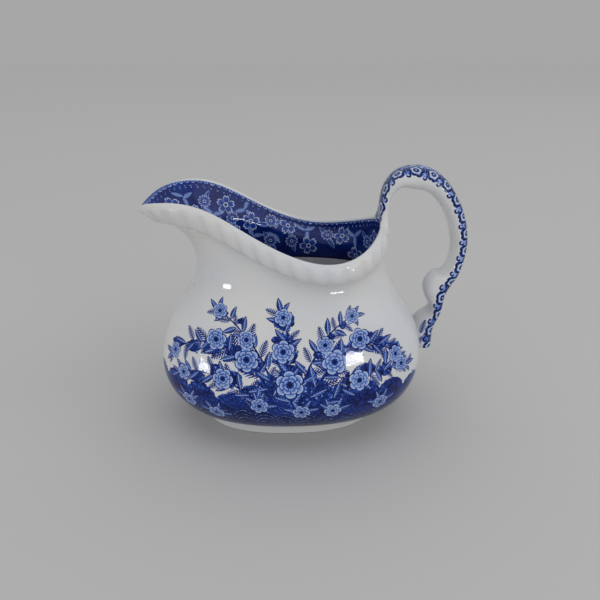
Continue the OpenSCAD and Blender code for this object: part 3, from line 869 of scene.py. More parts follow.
# %% Laying out the band
BAND_FOOT, BAND_PITCH, DAISY = 71.0, 10.8, 20
band_flowers, band_leaves, band_ferns = Motifs(), Motifs(), Motifs()
for side in (-1, 1):
    for row, drop in enumerate((7.8, 17.0, 26.2, 35.4)):
        chain = []
        for k, s in enumerate(np.arange(7 + BAND_PITCH / 2 * (row % 2), half_rim[-1], BAND_PITCH)):
            a = np.interp(s, half_rim, half_turn)
            column = skin([a if side > 0 else 360 - a], np.linspace(0.6, 1, 120))[0]
            below_top = np.linalg.norm(column - column[-1], axis=1)
            point = column[np.abs(below_top - drop - 1.4 * np.sin(k * 2.1)).argmin()]
            if point[2] < BAND_FOOT + 3 or below_top.max() < drop:
                continue
            chain.append(point)
            kind, seed, lean = (k + row) % 3, chance.uniform(0, 6), chance.uniform(0, 360)
            if kind == 0:
                band_flowers.add(wall_inside, point, lean, 5.0, 5.0, seed)
            elif kind == 1:
                band_flowers.add(wall_inside, point, lean, 3.5, 3.5, seed + DAISY)
                for turn_by in (60, 240):
                    band_leaves.add(wall_inside, point, lean + turn_by, 3.4, 1.5, seed, from_base=True)
            else:
                for turn_by in (0, 115, 235):
                    band_ferns.add(wall_inside, point, lean + turn_by, 2.9, 1.35, seed, from_base=True)
        for first, second in zip(chain, chain[1:]):
            if np.linalg.norm(second - first) < 20:
                middle = (first + second) / 2 + [0, 0, chance.uniform(-3, 3)]
                stem(wall_inside, [first, middle, second], 0.62, 0.62)
print(len(band_flowers.rows), "flowers in the band")

# %% Storing the design on the body
body_sheet = Sheet(body)
for layer, more in ((flowers, band_flowers), (leaves, band_leaves), (ferns, band_ferns)):
    layer.rows += more.rows
lay(body_sheet, "flower_place", flowers)
lay(body_sheet, "leaf_place", leaves)
lay(body_sheet, "fern_place", ferns)
lay(body_sheet, "clump_place", clumps)
draw_lines(body_sheet, "stem_place", lines)

# %% [markdown]
# ## Lengths round the jug
#
# The bushes, the edging under the lip and the chain on the handle repeat along a line. A UV map
# would stretch them where the jug narrows. So the meshes store plain lengths in millimetres: round
# the jug, along the rim, down from the rim, and along the strap and across it.

# %% Lengths round the body and the lip
BELLY_ROW, SEAM_GAP = 44, 0.8
round_the_jug, round_the_rim = walked_along(outside[BELLY_ROW]), walked_along(outside[-1])
girth, along_rim, below_rim = np.zeros((3, len(body.data.vertices)))
outer_from = len(under_rings) * AROUND
inner_from = outer_from + len(outside) * AROUND
for start, stack, top_ring in ((outer_from, outside, outside[-1]), (inner_from, inside, inside[0])):
    for row, ring in enumerate(stack):
        spot = slice(start + row * AROUND, start + (row + 1) * AROUND)
        girth[spot], along_rim[spot] = round_the_jug, round_the_rim
        below_rim[spot] = np.linalg.norm(ring - top_ring, axis=1)


def store_round(held, values):
    """Stores the lengths. Where a face spans the seam, its low corners go on past the whole length."""
    values = values[held.corner_vert]
    for k, whole in ((0, round_the_jug[-1]), (1, round_the_rim[-1])):
        low, high = np.full(len(held.centres), np.inf), np.full(len(held.centres), -np.inf)
        np.minimum.at(low, held.face_of, values[:, k])
        np.maximum.at(high, held.face_of, values[:, k])
        seam = ((high - low) > whole / 2)[held.face_of] & (values[:, k] < whole / 2)
        values[seam, k] += whole + SEAM_GAP
    held.store("round_place", values)


# %% Lengths over the lip, which start at its crest because the print goes on over its inner side
steps = np.linalg.norm(np.diff(lip_outline, axis=0, append=lip_outline[:1]), axis=1)
crest = lip_outline[:, 1].argmax()
inwards = np.concatenate([[0], np.cumsum(steps)[:-1]])
inwards = inwards[crest] - inwards
CREST_TO_WALL = inwards[np.abs(lip_outline[:crest, 1]).argmin()]
store_round(body_sheet, np.stack([girth, along_rim, below_rim + CREST_TO_WALL], -1))
lip_along = np.repeat(round_the_rim, len(lip_outline))
store_round(Sheet(lip), np.stack([0 * lip_along, lip_along, np.tile(inwards, AROUND)], -1))
print(f"from the lip's crest to the wall {CREST_TO_WALL:.1f} mm")

# %% Lengths along the handle
outer_middle = SECTION // 4
NOT_OUTSIDE, WIDEST_PRINT = 99, 13


def strap_place(made, rings, lengths):
    """Lengths along the strap and round its section, from the middle of its outer face."""
    turned = np.roll(rings, -outer_middle, axis=1)
    steps = np.linalg.norm(np.diff(turned, axis=1, append=turned[:, :1]), axis=2)
    walked = np.concatenate([np.zeros((len(rings), 1)), np.cumsum(steps, axis=1)[:, :-1]], 1)
    whole = steps.sum(1, keepdims=True)
    round_it = np.where(walked > whole / 2, walked - whole, walked)
    round_it = np.roll(round_it, outer_middle, axis=1)
    values = np.zeros((len(made.data.vertices), 3))
    count = rings.shape[0] * rings.shape[1]
    values[:count, 0] = np.repeat(lengths, rings.shape[1])
    values[:count, 1] = round_it.ravel()
    values[count:, 1] = NOT_OUTSIDE
    held = Sheet(made)
    values = values[held.corner_vert]
    widest = np.zeros(len(held.centres))
    np.maximum.at(widest, held.face_of, np.abs(values[:, 1]))
    values[(widest > WIDEST_PRINT)[held.face_of], 1] = NOT_OUTSIDE
    held.store("strap_place", values)


def strap_length(t):
    """The length walked along the outer edge, in millimetres."""
    fine = np.linspace(0, 1, 800)
    return np.interp(t, fine, walked_along(strap_at(fine)[:, :2]))


strap_place(loop, strap_rings(loop_at), strap_length(loop_at))
strap_place(scroll, strap_rings(scroll_at), strap_length(scroll_at))
tail_at = np.concatenate([np.linspace(SCROLL_END, 1, TAIL_ROWS), [1.002, 1.006, 1.01]])
tail_length = strap_length(tail_at) + np.maximum(0, tail_at - 1) * 60
strap_place(tail, tail_rings, tail_length)
root_edge = root_rings[:, outer_middle]
strap_place(root, root_rings, -walked_along(root_edge[::-1])[::-1])
print(f"the strap is {strap_length(1.0):.0f} mm long, {round_the_jug[-1]:.0f} mm round the belly")

# %% Sprigs on the sides of the tail
tail_ways = unit(np.cross(np.gradient(tail_rings, axis=1), np.gradient(tail_rings, axis=0)))
outwards = np.sign(((tail_rings - tail_rings.mean(1, keepdims=True)) * tail_ways).sum(-1).mean())
tail_side, tail_leaves = Surface(tail_rings, tail_ways * outwards), Motifs()
# reach, height, lean, half length
tail_sprigs = [(63, 47.5, 80, 3.6), (66.4, 46, 110, 2.6), (65, 42, 100, 3.2), (62.4, 40.5, 70, 3.0),
               (65.4, 37.6, 95, 2.4)]
for side in (-1, 1):
    for x, z, lean, size in tail_sprigs:
        tail_leaves.add(tail_side, tail_side.at(side, x, z), lean if side < 0 else 180 - lean,
                        size, size * 0.5, chance.uniform(0, 6))
lay(Sheet(tail), "fern_place", tail_leaves)

# %% [markdown]
# ## Writing shader sums
#
# A motif is a formula: how far is this point from the edge of the petal, and how dark is the ink
# there? In Blender each sign of a formula is one Math node, and a flower takes about a hundred of
# them, too many to place by hand. The small class below lets a formula be written in one line, and
# makes its nodes. A motif then becomes a node group with a place as its input, and with its cover
# (0 for no ink, 1 for ink) and its tone (0 for pale, 1 for navy) as its outputs.

# %% Formulas that become nodes
HALF_CIRCLE = 3.1416


def feed(tree, slot, part):
    """Gives a slot its number or colour, or links a sum or another node's socket to it."""
    if isinstance(part, (int, float, tuple)):
        slot.default_value = part
    else:
        tree.links.new(getattr(part, "socket", part), slot)


class Sum:
    """A number in a shader. Adding, multiplying and so on makes Math nodes."""

    def __init__(self, tree, socket):
        self.tree, self.socket = tree, socket

    def math(self, operation, *parts):
        node = self.tree.nodes.new("ShaderNodeMath")
        node.operation = operation
        for slot, part in zip(node.inputs, (self,) + parts):
            feed(self.tree, slot, part)
        return Sum(self.tree, node.outputs[0])

    def __add__(self, other): return self.math("ADD", other)
    def __sub__(self, other): return self.math("SUBTRACT", other)
    def __mul__(self, other): return self.math("MULTIPLY", other)
    def __truediv__(self, other): return self.math("DIVIDE", other)
    def __rsub__(self, other): return self.math("MULTIPLY", -1.0) + other
    __radd__, __rmul__ = __add__, __mul__
    def abs(self): return self.math("ABSOLUTE")
    def sin(self): return self.math("SINE")
    def cos(self): return self.math("COSINE")
    def fract(self): return self.math("FRACT")
    def floor(self): return self.math("FLOOR")
    def root(self): return self.math("SQRT")
    def power(self, p): return self.math("POWER", p)
    def most(self, other): return self.math("MAXIMUM", other)

    def ramp(self, low, high):
        """0 below low, 1 above high, and a soft step between. Low may be the greater one."""
        node = self.tree.nodes.new("ShaderNodeMapRange")
        node.interpolation_type = "SMOOTHSTEP"
        start, stop = (0, 1) if low < high else (1, 0)
        wanted = {"Value": self, "From Min": min(low, high), "From Max": max(low, high), "To Min": start,
                  "To Max": stop}
        for label, part in wanted.items():
            feed(self.tree, node.inputs[label], part)
        return Sum(self.tree, node.outputs["Result"])


def blend(a, b, t):
    """a where t is 0, and b where t is 1."""
    return (b - a) * t + a


def length(a, b):
    """The length of a step that is a one way and b the other."""
    return (a * a + b * b).root()


# %% Parts of a vector, noise, cells and mixed colours
def split(tree, vector):
    node = tree.nodes.new("ShaderNodeSeparateXYZ")
    tree.links.new(vector, node.inputs[0])
    return [Sum(tree, s) for s in node.outputs]


def join(tree, *parts):
    node = tree.nodes.new("ShaderNodeCombineXYZ")
    for slot, part in zip(node.inputs, parts):
        feed(tree, slot, part)
    return node.outputs[0]


def noise(tree, vector, scale, detail=2.0):
    """Soft random swells from 0 to 1, a number of them (the scale) to each unit of length."""
    node = tree.nodes.new("ShaderNodeTexNoise")
    for label, part in (("Vector", vector), ("Scale", scale), ("Detail", detail)):
        feed(tree, node.inputs[label], part)
    return Sum(tree, node.outputs[0])


def cells(tree, vector, scale, feature="F1"):
    """Random cells, each with a distance from its middle, a colour and a place."""
    node = tree.nodes.new("ShaderNodeTexVoronoi")
    node.feature = feature
    for label, part in (("Vector", vector), ("Scale", scale)):
        feed(tree, node.inputs[label], part)
    return node


def mix_colour(tree, share, a, b):
    """Colour a where the share is 0, and b where it is 1."""
    node = tree.nodes.new("ShaderNodeMix")
    node.data_type = "RGBA"
    for label, part in (("Factor", share), ("A", a), ("B", b)):
        feed(tree, node.inputs[label], part)
    return node.outputs["Result"]


# %% Groups of nodes
def group(name, build, **inputs):
    """A node group: build gets the tree and its inputs, and gives back its named outputs."""
    tree = bpy.data.node_groups.new(name, "ShaderNodeTree")
    for label, default in inputs.items():
        kind = "NodeSocketVector" if default is None else "NodeSocketFloat"
        kind = "NodeSocketColor" if isinstance(default, tuple) else kind
        socket = tree.interface.new_socket(label, in_out="INPUT", socket_type=kind)
        if default is not None:
            socket.default_value = default
    enter, leave = tree.nodes.new("NodeGroupInput"), tree.nodes.new("NodeGroupOutput")
    for label, part in build(tree, enter.outputs).items():
        kind = "NodeSocketFloat" if isinstance(part, Sum) else "NodeSocketColor"
        tree.interface.new_socket(label, in_out="OUTPUT", socket_type=kind)
        feed(tree, leave.inputs[label], part)
    print(f"group {name}: {len(tree.nodes)} nodes")
    return tree


def use(tree, made, **given):
    """Places a group in a tree and gives it its inputs. Its outputs come back."""
    node = tree.nodes.new("ShaderNodeGroup")
    node.node_tree = made
    for label, part in given.items():
        feed(tree, node.inputs[label], part)
    return node.outputs


# %% [markdown]
# ## The flower
#
# An open flower is three rings of petals, one inside the other. Each ring's edge goes in at the
# clefts between petals. A petal is pale at its rim and darker towards the heart, with fine veins
# and a dark line round it, as an engraver cuts it. Each petal could be a shape of its own, but one
# wave round the heart gives a whole ring of them. The rings are painted from the outside in.

# %% The flower group
def draw_flower(tree, given):
    u, v, seed = split(tree, given["Place"])
    r = length(u, v)
    angle = v.math("ARCTAN2", u) + seed
    cover, tone = None, None
    for size, petals, twist in ((0.97, 6, 0.0), (0.68, 6, 0.5), (0.4, 5, 0.2)):
        wave = ((angle + twist) * (petals / 2)).cos().abs()
        edge = (wave.power(0.55) * 0.3 + 0.7) * size
        inside = (edge - r).ramp(0, 0.035)
        q = r / edge
        veins = (angle * (petals * 2.5)).sin().abs().ramp(0.35, 0.1) * q.ramp(0.85, 0.5)
        petal = q.ramp(0.98, 0.3) * 0.5 + wave.ramp(0.35, 0.05) * 0.5 + veins * 0.26 + 0.01
        petal = petal + q.ramp(0.88, 0.95) * 0.8
        tone = blend(tone, petal, inside) if tone else petal
        cover = cover.most(inside) if cover else inside
    heart = r.ramp(0.17, 0.13)
    dots = (angle * 8.0).sin().ramp(0.2, 0.5) * r.ramp(0.16, 0.18) * r.ramp(0.25, 0.23)
    tone = blend(tone, 0.95, heart.most(dots))
    return {"Cover": cover, "Tone": tone}


flower_group = group("open_flower", draw_flower, Place=None)

# %% [markdown]
# ## The leaf, the fern and the stem
#
# A leaf has a toothed edge, one side in shadow, a pale rib down its middle and pale veins. A fern
# is a row of small leaflets that slant forward on both sides of a stalk. Both would need hundreds
# of points if they were drawn as outlines. As sums, their length runs from 0 to 1, a repeating
# step cuts the teeth, veins and leaflets, and the stored seed makes no two quite alike.

# %% The leaf and the fern group
def draw_leaf(tree, given):
    u, v, seed = split(tree, given["Place"])
    along = u * 0.5 + 0.5
    bent = v - (along * HALF_CIRCLE).sin() * 0.12
    across = bent.abs()
    full = (along.most(0.001).power(0.8) * HALF_CIRCLE).sin().most(0).power(0.75) * 0.86
    teeth = ((along - across * 0.1) * 7.0 + seed).fract() * 0.15
    edge = full - teeth
    on = along.ramp(0, 0.02) * along.ramp(1, 0.98)
    cover = (edge - across).ramp(0, 0.06) * on
    vein = (((along - across * 0.22) * 6.5).fract() - 0.5).abs().ramp(0.33, 0.42)
    side = bent.ramp(-0.04, 0.04)
    tone = side * 0.22 + 0.46 - vein * 0.3 + (across - edge).ramp(-0.24, -0.1) * 0.55
    tone = blend(tone, 0.06, across.ramp(0.09, 0.04) * along.ramp(0.95, 0.8))
    return {"Cover": cover, "Tone": tone.most(0.06)}


def draw_fern(tree, given):
    u, v, seed = split(tree, given["Place"])
    along = u * 0.5 + 0.5
    bent = v - (along * HALF_CIRCLE + seed * 0.3).sin() * 0.12
    across = bent.abs()
    reach = (along.most(0.001).power(0.85) * HALF_CIRCLE).sin().most(0.0001).power(0.6) * 0.92
    slant = (along * 7.0 - across * 2.0 + bent.ramp(-0.02, 0.02) * 0.5).fract() - 0.5
    body_half = (1 - (across / reach).power(2.0)).most(0).root() * 0.44
    on = along.ramp(0.01, 0.03) * along.ramp(0.99, 0.97) * (reach - across).ramp(0, 0.05)
    leaflet = (body_half - slant.abs()).ramp(0, 0.14) * on
    stalk = across.ramp(0.1, 0.05) * along.ramp(0.01, 0.03) * along.ramp(0.97, 0.93)
    tone = slant.ramp(-0.3, 0.4) * 0.4 + 0.36 + across.ramp(0.5, 0.1) * 0.2
    return {"Cover": leaflet.most(stalk), "Tone": blend(tone, 0.82, stalk)}


leaf_group = group("toothed_leaf", draw_leaf, Place=None)
fern_group = group("fern_leaf", draw_fern, Place=None)

# %% [markdown]
# ## The stem and the foliage clump
#
# A stem is a dark line with a light edge, so that it looks round. A clump is a mass of small round
# leaves with a ragged edge, each lit from above and dark below. Leaves of a clump could be drawn
# one by one. A cell texture gives them all at once, and since its cells are laid out round the
# whole jug, two clumps that meet share their leaves and show no seam.

# %% The stem and the clump group
def draw_stem(tree, given):
    across, along, seed = split(tree, given["Place"])
    knots = (along * 1.3 + seed).sin() * 0.12
    cover = (1 - across.abs() + knots).ramp(0, 0.3)
    return {"Cover": cover, "Tone": 0.9 - across.ramp(-0.1, 0.7) * 0.5}


def draw_clump(tree, given):
    u, v, _ = split(tree, given["Place"])
    s, _, _ = split(tree, given["Round"])
    _, _, z = split(tree, given["Point"])
    across, up = s * 0.46, z * (0.5 / MM)
    spot = join(tree, across, up, 0)
    rough = noise(tree, spot, 0.4, 1.0)
    small = cells(tree, spot, 1.0)
    middle_x, middle_y, _ = split(tree, small.outputs["Position"])
    shade, _, _ = split(tree, small.outputs["Color"])
    near = Sum(tree, small.outputs["Distance"])
    leaf = near + (across - middle_x).abs() * 0.25
    far = length(u, v)
    r = far + (rough - 0.5) * 0.8 + leaf * 0.36 - shade * 0.12
    rib = (across - middle_x).abs().ramp(0.1, 0.03) * near.ramp(0.5, 0.3)
    tone = (up - middle_y) * -0.85 + shade * 0.34 - v * 0.12 + 0.34 + leaf.ramp(0.42, 0.6) * 0.5 - rib * 0.25
    return {"Cover": r.ramp(0.97, 0.9) * far.ramp(1.2, 1.1), "Tone": tone.most(0.04)}


stem_group = group("round_stem", draw_stem, Place=None)
clump_group = group("foliage_clump", draw_clump, Place=None, Round=None, Point=None)

# %% [markdown]
# ## The pale flowers inside the mouth
#
# Inside the mouth the flowers are left out of a dark ground, so they are drawn the other way round.
# A wild rose has five notched petals with deep clefts between them; a daisy has many narrow ones.
# Each petal has a pale edge and is darker within, with pale veins. Two groups would be twice the
# work to draw, so the two share one: the layout adds 20 to the seed of a daisy.

# %% The pale flower group
def draw_pale_flower(tree, given):
    u, v, seed = split(tree, given["Place"])
    daisy = seed.ramp(DAISY / 2 - 0.1, DAISY / 2 + 0.1)
    r = length(u, v)
    turned = v.math("ARCTAN2", u) + seed
    rose_wave, daisy_wave = (turned * 2.5).cos().abs(), (turned * 5.5).cos().abs()
    rose_edge = rose_wave.power(0.42) * 0.84 + 0.12 - rose_wave.ramp(0.965, 1.0) * 0.13
    daisy_edge = daisy_wave.power(0.5) * 0.5 + 0.42
    edge = blend(rose_edge, daisy_edge, daisy)
    cover = (edge - r).ramp(0, 0.035)
    outline = (edge - r).ramp(0.17, 0.1)
    veins = (turned * 12.5).sin().abs().ramp(0.3, 0.1) * r.ramp(0.3, 0.45) * (1 - daisy) * 0.5
    shade = 0.74 - r * 0.3 - veins * 0.3
    tone = blend(shade, 0.04, outline)
    ring = (r - 0.2).abs().ramp(0.07, 0.04)
    heart = r.ramp(0.15, 0.12)
    tone = blend(blend(tone, 0.06, ring), 0.85, heart)
    return {"Cover": cover, "Tone": tone}


pale_flower_group = group("pale_flower", draw_pale_flower, Place=None)

# %% [markdown]
# ## The bushes round the foot of the wall
#
# Two rows of low bushes go round the jug. Their tops are rows of round heads. The far row is in
# mid blue, and is made of small clumps of leaves with a light side and a dark side. The near row
# is darker, with pale curved lines that follow the heads, and below it lies a dark lawn with a few
# pale streaks. One navy line closes the print above the foot. Single bushes could be laid out like
# the flowers, but the bank has no gaps, so it is drawn as heights along the length round the jug.

# %% The bushes group
FAR_BUSHES_H, NEAR_BUSHES_H, LAWN_H, FOOT_LINE_H, PRINT_FOOT = 30.0, 20.5, 12.2, 6.85, 6.15


def heads(s, wide, shift):
    """A row of round heads, so many millimetres wide: 0 between them and 1 at their tops."""
    return ((s / wide + shift) * HALF_CIRCLE).sin().abs().power(0.7)


def draw_bushes(tree, given):
    s, _, _ = split(tree, given["Round"])
    _, _, z = split(tree, given["Point"])
    z = z * (1 / MM)
    wave = (s * 0.0785).sin()
    far_top = heads(s, 13.7, 0.2) * 4.8 + wave * 2.8 + FAR_BUSHES_H
    near_top = heads(s, 9.3, 0.6) * 3.8 - wave * 2.4 + NEAR_BUSHES_H
    rough = noise(tree, join(tree, s, z, 0), 0.55)
    far_top = far_top + (rough - 0.5) * 3.2
    near_top = near_top + (rough - 0.5) * 1.6
    spot = join(tree, s * 0.42, z * 0.5, 0)
    depth = Sum(tree, cells(tree, spot, 1.0).outputs["Distance"])
    seam = Sum(tree, cells(tree, spot, 1.0, "DISTANCE_TO_EDGE").outputs["Distance"]).ramp(0.09, 0.03)
    frill = ((depth * 26.0).sin() * 0.5 + 0.5) * depth.ramp(0.15, 0.5)
    far_tone = depth.ramp(0.1, 0.65) * 0.34 + 0.42 - frill * 0.24 + seam * 0.4
    far_tone = far_tone + (far_top - z).ramp(2.2, 7.0) * 0.2
    rings = (((near_top - z) / 2.3).fract() - 0.5).abs()
    line = rings.ramp(0.4, 0.48) * rough.ramp(0.38, 0.5) * (near_top - z).ramp(0.6, 1.2)
    near_tone = 0.9 - line * 0.78 - (near_top - z).ramp(1.5, 0.3) * 0.3
    streak = ((z * 0.9 + (s * 0.17).sin() * 1.4).fract() - 0.5).abs().ramp(0.38, 0.46)
    lawn_tone = 0.97 - streak * rough.ramp(0.44, 0.56) * 0.8
    near_tone = blend(near_tone, lawn_tone, z.ramp(LAWN_H + 0.4, LAWN_H - 0.4))
    near_tone = blend(near_tone, 1.0, z.ramp(FOOT_LINE_H + 0.15, FOOT_LINE_H - 0.15))
    above_foot = z.ramp(PRINT_FOOT, PRINT_FOOT + 0.25)
    near = (near_top - z).ramp(0, 0.4) * above_foot
    far = (far_top - z).ramp(0, 0.5) * above_foot
    return {"Far": far, "Far Tone": far_tone, "Near": near, "Near Tone": near_tone}


bushes_group = group("garden_bushes", draw_bushes, Round=None, Point=None)

# %% [markdown]
# ## The edging inside the rim
#
# Under the white crest of the lip the cobalt ground starts with a narrow edging: a row of small
# pale arches, with a dot in each and another between them. One arch is drawn, and the remainder of
# the length after whole pitches repeats it round the rim. A little noise shakes the line, because
# exact copies would look stamped.

# %% The edging group
def draw_edging(tree, given):
    _, s, down = split(tree, given["Round"])
    pitch, first, low = 3.1, 2.0, 4.6
    shaken = noise(tree, join(tree, s, down, 0), 0.8) - 0.5
    a = ((s / pitch + shaken * 0.3).fract() - 0.5) * pitch
    down = down + shaken * 0.8
    arch = length(a, down - first)
    ring = (arch - 1.05).abs().ramp(0.36, 0.16) * (down - first).ramp(-0.8, 0.2)
    dot = arch.ramp(0.5, 0.3)
    lower = length(a.abs() - pitch / 2, down - low).ramp(0.42, 0.26)
    return {"Cover": ring.most(dot).most(lower) * (0.85 - shaken)}


edging_group = group("rim_edging", draw_edging, Round=None)

# %% [markdown]
# ## The chain on the handle
#
# Down the domed outer face of the strap run two rows of small round flowers, so that one row shows
# from each side. Leaves and small curls fill the gaps, and a row of beads runs down the middle, all
# on a blue wash with fine dots. The links repeat by length along the strap, like the edging, so
# they keep their size round the bend. The rows lie closer together at the narrow root.

# %% The flowers and the beads of the chain
def oval_spot(a, half_a, b, half_b):
    """1 inside an oval with these half lengths, with a soft edge."""
    a, b = a / half_a, b / half_b
    return (1 - (a * a + b * b)).ramp(0, 0.3)


def rosette(a, out, link):
    """A round flower with five petals and a ring at its heart: its cover and its tone."""
    r = length(a, out)
    angle = out.math("ARCTAN2", a) + link * 1.3
    wave = (angle * 2.5).cos().abs()
    edge = wave.power(0.5) * 0.9 + 3.0
    petals = (r / edge).ramp(0.58, 0.7) * (1 - wave.ramp(0.94, 1.0) * 0.5) * 0.9 + 0.05
    petals = petals.most(r.ramp(1.5, 1.2) * 0.9)
    return (edge - r).ramp(0, 0.25), blend(petals, 0.1, r.ramp(0.6, 0.4))


# %% The chain group
def draw_chain(tree, given):
    s, w, _ = split(tree, given["Strap"])
    pitch = 8.4
    on_loop = s.ramp(12, 32)
    row_at = on_loop * 3.2 + 3.2
    row = w.ramp(-0.01, 0.01)
    shifted = s / pitch + row * 0.5
    link = shifted.floor()
    a = (shifted.fract() - 0.5) * pitch
    out = w.abs() - row_at
    flower, petals = rosette(a, out, link)
    b = (a / pitch + 1.0).fract() * pitch - pitch / 2
    curl_out = out - 2.9
    curls = (length(b, curl_out) - 0.95).abs().ramp(0.52, 0.34) * (b * 0.7 + curl_out).ramp(-0.7, 0.0)
    leaf = oval_spot(b, 1.1, out + 1.3 - b.abs() * 0.3, 2.6)
    vein = b.abs().ramp(0.22, 0.1)
    half = pitch / 2
    shaken = noise(tree, join(tree, s, w, 0), 0.35, 1.0) - 0.5
    c = ((s / half + shaken * 0.5).fract() - 0.5) * half
    bead = oval_spot(c, 1.3, w.abs() - on_loop * 1.1 + shaken * 1.6, 0.9)
    spot = cells(tree, join(tree, s * 0.8, w * 0.8, 0), 1.0)
    dots = Sum(tree, spot.outputs["Distance"]).ramp(0.45, 0.2) * out.ramp(3.2, 2.2)
    wash = out.ramp(3.4, 2.6) * 0.62
    tone, cover = dots * 0.4 + 0.13, dots.most(wash)
    for layer, shade in ((curls, 0.8), (leaf, 0.85 - vein * 0.6), (bead, 0.9), (flower, petals)):
        tone = blend(tone, shade, layer)
        cover = cover.most(layer)
    return {"Cover": cover * out.ramp(4.4, 4.0), "Tone": tone}


chain_group = group("handle_chain", draw_chain, Strap=None)

# %% [markdown]
# ## Ink under the glaze
#
# Cobalt ink is pale where it lies thin and navy where it lies thick. It bleeds a little into the
# glaze as it melts, so its edges turn pale blue, and the engraver's fine dots leave it slightly
# grainy. Mixing white with one blue would look like paint. So the tone is first made paler towards
# the edge of the cover and broken up by fine noise, and then a row of seven blues turns it into a
# colour.

# %% The ink group
# tones from thin to thick ink, and their colours
BLUES = [(0.0, (0.43, 0.51, 0.68)), (0.14, (0.19, 0.3, 0.6)), (0.32, (0.042, 0.11, 0.42)),
         (0.52, (0.007, 0.042, 0.27)), (0.7, (0.002, 0.018, 0.165)), (0.85, (0.001, 0.007, 0.09)),
         (1.0, (0.001, 0.003, 0.042))]


def draw_ink(tree, given):
    cover = Sum(tree, given["Cover"])
    tone = Sum(tree, given["Tone"]) * cover.ramp(-0.3, 0.9)
    grain = noise(tree, given["Point"], 2600.0, 1.0)
    patch = noise(tree, given["Point"], 90.0, 2.0)
    tone = tone + (grain - 0.5) * tone.ramp(0, 0.3) * 0.4 + (patch - 0.5) * tone.ramp(0, 0.3) * 0.3
    ramp = tree.nodes.new("ShaderNodeValToRGB")
    feed(tree, ramp.inputs["Fac"], tone)
    stops = ramp.color_ramp.elements
    for _ in BLUES[2:]:
        stops.new(0.5)
    for stop, (at, rgb) in zip(stops, BLUES):
        stop.position, stop.color = at, (*rgb, 1)
    share = cover.ramp(0, 0.6) * tone.ramp(-0.02, 0.1)
    return {"Color": mix_colour(tree, share, given["Ware"], ramp.outputs["Color"])}


ink_group = group("cobalt_ink", draw_ink, Cover=0.0, Tone=0.0, Point=None, Ware=(0.7, 0.7, 0.7, 1))

# %% [markdown]
# ## The white ware and its glaze
#
# Fired ware isn't pure white: it is faintly grey, a little warmer in some places. A few small iron
# specks burn out as dark pits. The glaze is very smooth, but it pools, so its surface swells
# softly. A separate clear coat could stand for the glaze. One smooth surface does the same here,
# because the ware below shows no shine of its own.

# %% The ware group
def draw_ware(tree, given):
    point = given["Point"]
    cloud = noise(tree, point, 28.0, 2.0)
    fine = noise(tree, point, 260.0, 3.0)
    warmer = cloud.ramp(0.3, 0.7) + (fine - 0.5) * 0.5
    clay = mix_colour(tree, warmer, (0.575, 0.585, 0.61, 1), (0.62, 0.615, 0.605, 1))
    pits = cells(tree, point, 220.0)
    pick, _, size = split(tree, pits.outputs["Color"])
    reach = Sum(tree, pits.outputs["Distance"]) / (size * 0.5 + 0.5)
    pit = reach.ramp(0.09, 0.05) * pick.ramp(0.88, 0.9)
    colour = mix_colour(tree, pit * 0.9, clay, (0.035, 0.03, 0.03, 1))
    swell = noise(tree, point, 55.0, 1.0) * 0.8 + noise(tree, point, 420.0, 2.0) * 0.05 - pit * 0.6
    rough = fine.ramp(0.3, 0.7) * 0.03 + 0.04 + pit * 0.3
    return {"Color": colour, "Roughness": rough, "Height": swell}


ware_group = group("glazed_ware", draw_ware, Point=None)

# %% [markdown]
# ## The materials
#
# Every material is the glazed ware, and those with a print lay the ink over its colour. The print
# is under the glaze, so the gloss is the same on both. Glass would have an index near 1.5, but
# then the pale room mirrored in the glaze would wash out the blues, so the index is set lower.

# %% A glazed material
GLAZE_INDEX, GLAZE_SWELL, SWELL_SHARE = 1.34, 0.0004, 0.35


def glazed(name, paint=None):
    """A material of glazed ware. Paint, if given, is what draws the print's cover and tone."""
    made = bpy.data.materials.new(name)
    made.use_nodes = True
    tree = made.node_tree
    shader = tree.nodes["Principled BSDF"]
    point = tree.nodes.new("ShaderNodeTexCoord").outputs["Object"]
    ware = use(tree, ware_group, Point=point)
    colour = ware["Color"]
    if paint:
        cover, tone = paint(tree, point)
        colour = use(tree, ink_group, Cover=cover, Tone=tone, Point=point, Ware=colour)["Color"]
    bump = tree.nodes.new("ShaderNodeBump")
    for label, part in (("Strength", SWELL_SHARE), ("Distance", GLAZE_SWELL), ("Height", ware["Height"])):
        feed(tree, bump.inputs[label], part)
    for label, part in (("IOR", GLAZE_INDEX), ("Base Color", colour), ("Roughness", ware["Roughness"]),
                        ("Normal", bump.outputs["Normal"])):
        feed(tree, shader.inputs[label], part)
    print(f"{name}: {len(tree.nodes)} nodes")
    return made


# %% Laying one motif over another
def stored(tree, name):
    """The three numbers that a mesh holds under this name."""
    node = tree.nodes.new("ShaderNodeAttribute")
    node.attribute_name = name
    return node.outputs["Vector"]


def motif(tree, made, place):
    """The cover and the tone of a motif that is drawn from the places stored under a name."""
    drawn = use(tree, made, Place=stored(tree, place))
    return Sum(tree, drawn["Cover"]), Sum(tree, drawn["Tone"])


def over(below, above):
    """Lays one motif over what is below it: both are pairs of cover and tone."""
    return below[0].most(above[0]), blend(below[1], above[1], above[0])


# %% The garden's paint
def paint_garden(tree, point):
    bushes = use(tree, bushes_group, Round=stored(tree, "round_place"), Point=point)
    labels = ("Far", "Far Tone", "Near", "Near Tone")
    far, far_tone, near, near_tone = (Sum(tree, bushes[label]) for label in labels)
    clump = use(tree, clump_group, Place=stored(tree, "clump_place"), Round=stored(tree, "round_place"),
                Point=point)
    ink = over((far, far_tone), (Sum(tree, clump["Cover"]), Sum(tree, clump["Tone"])))
    ink = over(ink, motif(tree, stem_group, "stem_place"))
    ink = over(ink, (near, near_tone))
    ink = over(ink, motif(tree, fern_group, "fern_place"))
    ink = over(ink, motif(tree, leaf_group, "leaf_place"))
    return over(ink, motif(tree, flower_group, "flower_place"))


